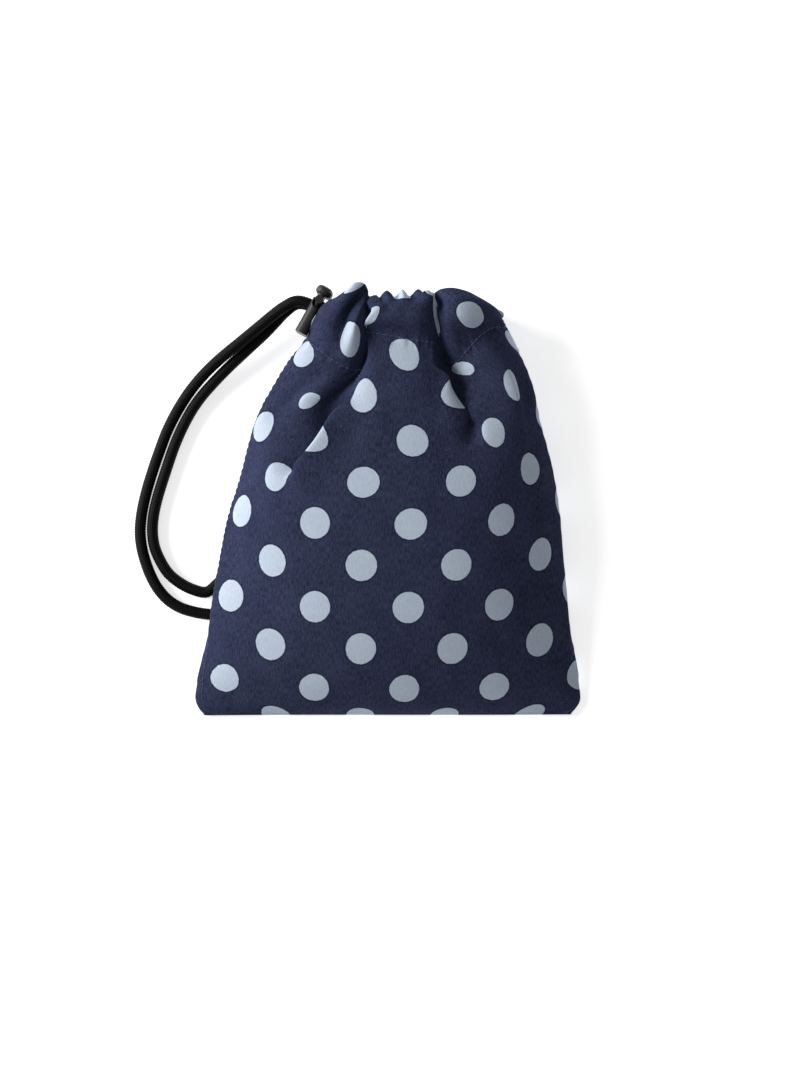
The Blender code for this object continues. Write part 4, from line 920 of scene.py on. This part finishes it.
def new_material(name, colour, rough, metal=0.0):
    """A material with one Principled shader and constants on its sockets."""
    made = bpy.data.materials.new(name)
    made.use_nodes = True
    shader = made.node_tree.nodes["Principled BSDF"]
    shader.inputs["Base Color"].default_value = linear(colour)
    shader.inputs["Roughness"].default_value = rough
    shader.inputs["Metallic"].default_value = metal
    return made, made.node_tree, shader


def node(tree, kind, settings=None, links=None):
    """Adds one node. Settings name its properties or sockets, links its sockets."""
    made = tree.nodes.new(kind)
    for key, value in (settings or {}).items():
        if isinstance(key, str) and hasattr(made, key):
            setattr(made, key, value)
        else:
            made.inputs[key].default_value = value
    for key, output in (links or {}).items():
        tree.links.new(output, made.inputs[key])
    return made


# %% [markdown]
# ### Printed denim
# Denim is a twill: dark warp threads over a paler weft, so tiny pale specks and soft vertical
# slubs show in it. The dots are printed on top in pale blue, 12.4 mm across, in rows that are
# offset by half a step, and the dye is darker just around each. Their places are worked out on the
# flat cloth, so the folds cut them.

# %% Sizes of the print and the weave
DOT = 12.4
DOT_STEP = (37.52, 33.16)
DOT_START = ((-68.45, 16.4), (-49.69, -0.18))
DOT_EDGE = 0.12
HALO = (0.15, 0.75)
WOBBLE = 0.5
# Noise cells for each mm, across and up: a speck is 0.3 x 0.4 mm, as the weft's yarns are.
SPECK = (3.2, 2.3, 1.0)
SLUB = (2.0, 0.45, 1.0)
PATCH = (0.10, 0.07, 1.0)
# This scale draws the twill's diagonal lines about 0.6 mm apart.
TWILL = 0.72
print("dots in mm:", DOT, "across, a step of", DOT_STEP)

# %% Denim
def printed_dots(tree, mm):
    """Dots and dark rims: |wrap(p - start, step)| < DOT / 2, for two lattices half a step apart."""
    noise = node(tree, "ShaderNodeTexNoise", {"Scale": 0.9, "Detail": 2.0}, {"Vector": mm})
    centred = {"operation": "MULTIPLY_ADD", 1: (WOBBLE, WOBBLE, 0.0), 2: (-WOBBLE / 2, -WOBBLE / 2, 0.0)}
    wobble = node(tree, "ShaderNodeVectorMath", centred, {0: noise.outputs["Color"]}).outputs[0]
    moved = node(tree, "ShaderNodeVectorMath", {"operation": "ADD"}, {0: mm, 1: wobble}).outputs[0]
    half = (DOT_STEP[0] / 2, DOT_STEP[1] / 2, 1.0)
    cell = {"operation": "WRAP", 1: half, 2: tuple(-v for v in half)}
    dots = []
    halos = []
    for start in DOT_START:
        local = node(tree, "ShaderNodeVectorMath", {"operation": "SUBTRACT", 1: (*start, 0.0)}, {0: moved})
        wrapped = node(tree, "ShaderNodeVectorMath", cell, {0: local.outputs[0]})
        far = node(tree, "ShaderNodeVectorMath", {"operation": "LENGTH"}, {0: wrapped.outputs[0]})
        for found, outer, inner in ((dots, DOT_EDGE, -DOT_EDGE), (halos, HALO[1], HALO[0])):
            rim = {"From Min": DOT / 2 + outer, "From Max": DOT / 2 + inner}
            ring = node(tree, "ShaderNodeMapRange", rim, {"Value": far.outputs["Value"]})
            found.append(ring.outputs["Result"])
    dot = node(tree, "ShaderNodeMath", {"operation": "MAXIMUM"}, {0: dots[0], 1: dots[1]}).outputs[0]
    halo = node(tree, "ShaderNodeMath", {"operation": "MAXIMUM"}, {0: halos[0], 1: halos[1]}).outputs[0]
    return dot, halo


def weave(tree, mm):
    """One tone for the yarns: specks + slubs + twill lines + large soft patches, each with its part."""
    def grain(scale, detail, rough=0.5):
        stretched = node(tree, "ShaderNodeMapping", {"Scale": scale}, {"Vector": mm})
        return node(tree, "ShaderNodeTexNoise", {"Scale": 1.0, "Detail": detail, "Roughness": rough},
                    {"Vector": stretched.outputs[0]}).outputs["Fac"]

    speck = grain(SPECK, 1.5, 0.6)
    slub = grain(SLUB, 2.0)
    patch = grain(PATCH, 3.0)
    bands = {"bands_direction": "DIAGONAL", "Scale": TWILL, "Distortion": 1.6, "Detail": 1.0,
             "Detail Scale": 1.2}
    twill = node(tree, "ShaderNodeTexWave", bands, {"Vector": mm}).outputs["Fac"]
    tone = slub
    for pattern, part in ((speck, 1.30), (twill, 0.20), (patch, 0.35)):
        added = {"operation": "MULTIPLY_ADD", 1: part}
        tone = node(tree, "ShaderNodeMath", added, {0: pattern, 2: tone}).outputs[0]
    return tone


def printed_denim(name):
    """Indigo and print colours, each mixed by the weave's tone, with the dots laid over the dye."""
    made, tree, shader = new_material(name, "2b2f4a", 0.86)
    shader.inputs["IOR"].default_value = 1.45
    shader.inputs["Specular IOR Level"].default_value = 0.05
    place = node(tree, "ShaderNodeUVMap", {"uv_map": "along"}).outputs["UV"]
    mm = node(tree, "ShaderNodeVectorMath", {"operation": "SCALE", "Scale": 1000.0}, {0: place}).outputs[0]
    dot, halo = printed_dots(tree, mm)
    tone = weave(tree, mm)

    def mixed(dark, pale, share):
        colours = {"data_type": "RGBA", 6: linear(dark), 7: linear(pale)}
        return node(tree, "ShaderNodeMix", colours, {0: share}).outputs[2]

    ramp = node(tree, "ShaderNodeMapRange", {"From Min": 1.07, "From Max": 1.73}, {"Value": tone})
    ramp = ramp.outputs["Result"]
    blue = mixed("15172a", "444b69", ramp)
    white = mixed("b3c1d3", "cdd9e9", ramp)
    halo = node(tree, "ShaderNodeMath", {"operation": "MULTIPLY", 1: 0.7}, {0: halo}).outputs[0]
    dyed = node(tree, "ShaderNodeMix", {"data_type": "RGBA", 7: linear("0d1330")}, {0: halo, 6: blue})
    paint = node(tree, "ShaderNodeMix", {"data_type": "RGBA"}, {0: dot, 6: dyed.outputs[2], 7: white})
    tree.links.new(paint.outputs[2], shader.inputs["Base Color"])
    bump = node(tree, "ShaderNodeBump", {"Strength": 0.45, "Distance": 0.00018}, {"Height": tone})
    tree.links.new(bump.outputs[0], shader.inputs["Normal"])
    return made


denim = printed_denim("printed_indigo_denim")
front.data.materials.append(denim)
back.data.materials.append(denim)

# %% [markdown]
# ### Braid, thread, moulded plastic and spring steel
# The cord is matt black polyester. Its yarns are finer than the braid, so they are a bump along
# the strands. The lock is moulded plastic with a satin skin, and the hidden spring is drawn steel.

# %% Other materials
# Cells of noise for each metre: a yarn is about 0.2 mm, and the mould's texture is as fine.
YARNS = 5200.0
MOULD_TEXTURE = 4200.0

braid, tree, shader = new_material("black_polyester_braid", "070707", 0.60)
shader.inputs["Specular IOR Level"].default_value = 0.14
along = node(tree, "ShaderNodeUVMap", {"uv_map": "along"}).outputs["UV"]
yarn = node(tree, "ShaderNodeMapping", {"Scale": (YARNS, YARNS, 1.0)}, {"Vector": along})
fuzz = node(tree, "ShaderNodeTexNoise", {"Scale": 1.0, "Detail": 2.0}, {"Vector": yarn.outputs[0]})
bump = node(tree, "ShaderNodeBump", {"Strength": 0.4, "Distance": 0.00010}, {"Height": fuzz.outputs["Fac"]})
tree.links.new(bump.outputs[0], shader.inputs["Normal"])
for piece in (cord_loop, front_run, back_run):
    piece.data.materials.append(braid)

thread, _, shader = new_material("navy_polyester_thread", "484e70", 0.6)
for piece in (casing_front, casing_back, seam_stitches):
    piece.data.materials.append(thread)

plastic, tree, shader = new_material("moulded_satin_plastic", "2b2a2b", 0.42)
shader.inputs["IOR"].default_value = 1.48
place = node(tree, "ShaderNodeTexCoord").outputs["Object"]
texture = node(tree, "ShaderNodeTexNoise", {"Scale": MOULD_TEXTURE, "Detail": 1.0}, {"Vector": place})
bump = node(tree, "ShaderNodeBump", {"Strength": 0.25, "Distance": 0.00003},
            {"Height": texture.outputs["Fac"]})
tree.links.new(bump.outputs[0], shader.inputs["Normal"])

steel, _, _ = new_material("drawn_spring_steel", "b8bcc0", 0.3, 1.0)
for name, finish in (("lock_body", plastic), ("lock_button", plastic), ("lock_spring", steel)):
    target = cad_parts[name]
    target.data.materials.clear()
    target.data.materials.append(finish)
    if name != "lock_spring":
        weld = target.modifiers.new("weld", "WELD")
        weld.merge_threshold = 0.00001
        edge = target.modifiers.new("moulded edges", "BEVEL")
        edge.width = 0.00025
        edge.segments = 3
        edge.angle_limit = math.radians(38)

# %% [markdown]
# ## Floor and light
# The floor is plain and nearly white. A large soft light stands at the upper left, and an even
# white surrounding fills the shadows, as in a light tent.

# %% Floor and lights
floor_grid = np.array([[[-3.0, -3.0, 0.0], [3.0, -3.0, 0.0]], [[-3.0, 3.0, 0.0], [3.0, 3.0, 0.0]]])
floor = surface("floor", floor_grid, floor_grid[..., :2])
paper, _, shader = new_material("white_paper_backdrop", "fafafa", 0.9)
shader.inputs["Emission Color"].default_value = linear("ffffff")
shader.inputs["Emission Strength"].default_value = 0.66
floor.data.materials.append(paper)

light = bpy.data.objects.new("key", bpy.data.lights.new("key", "AREA"))
light.data.size = 0.6
light.data.energy = 18.5
light.location = (-1.10, 0.32, 0.55)
light.rotation_euler = (-light.location).to_track_quat("-Z", "Y").to_euler()
bpy.context.scene.collection.objects.link(light)

world = bpy.data.worlds.new("tent")
world.use_nodes = True
world.node_tree.nodes["Background"].inputs[0].default_value = (1.0, 1.0, 1.0, 1.0)
world.node_tree.nodes["Background"].inputs[1].default_value = 0.24
bpy.context.scene.world = world
bpy.context.scene.view_settings.view_transform = "Standard"
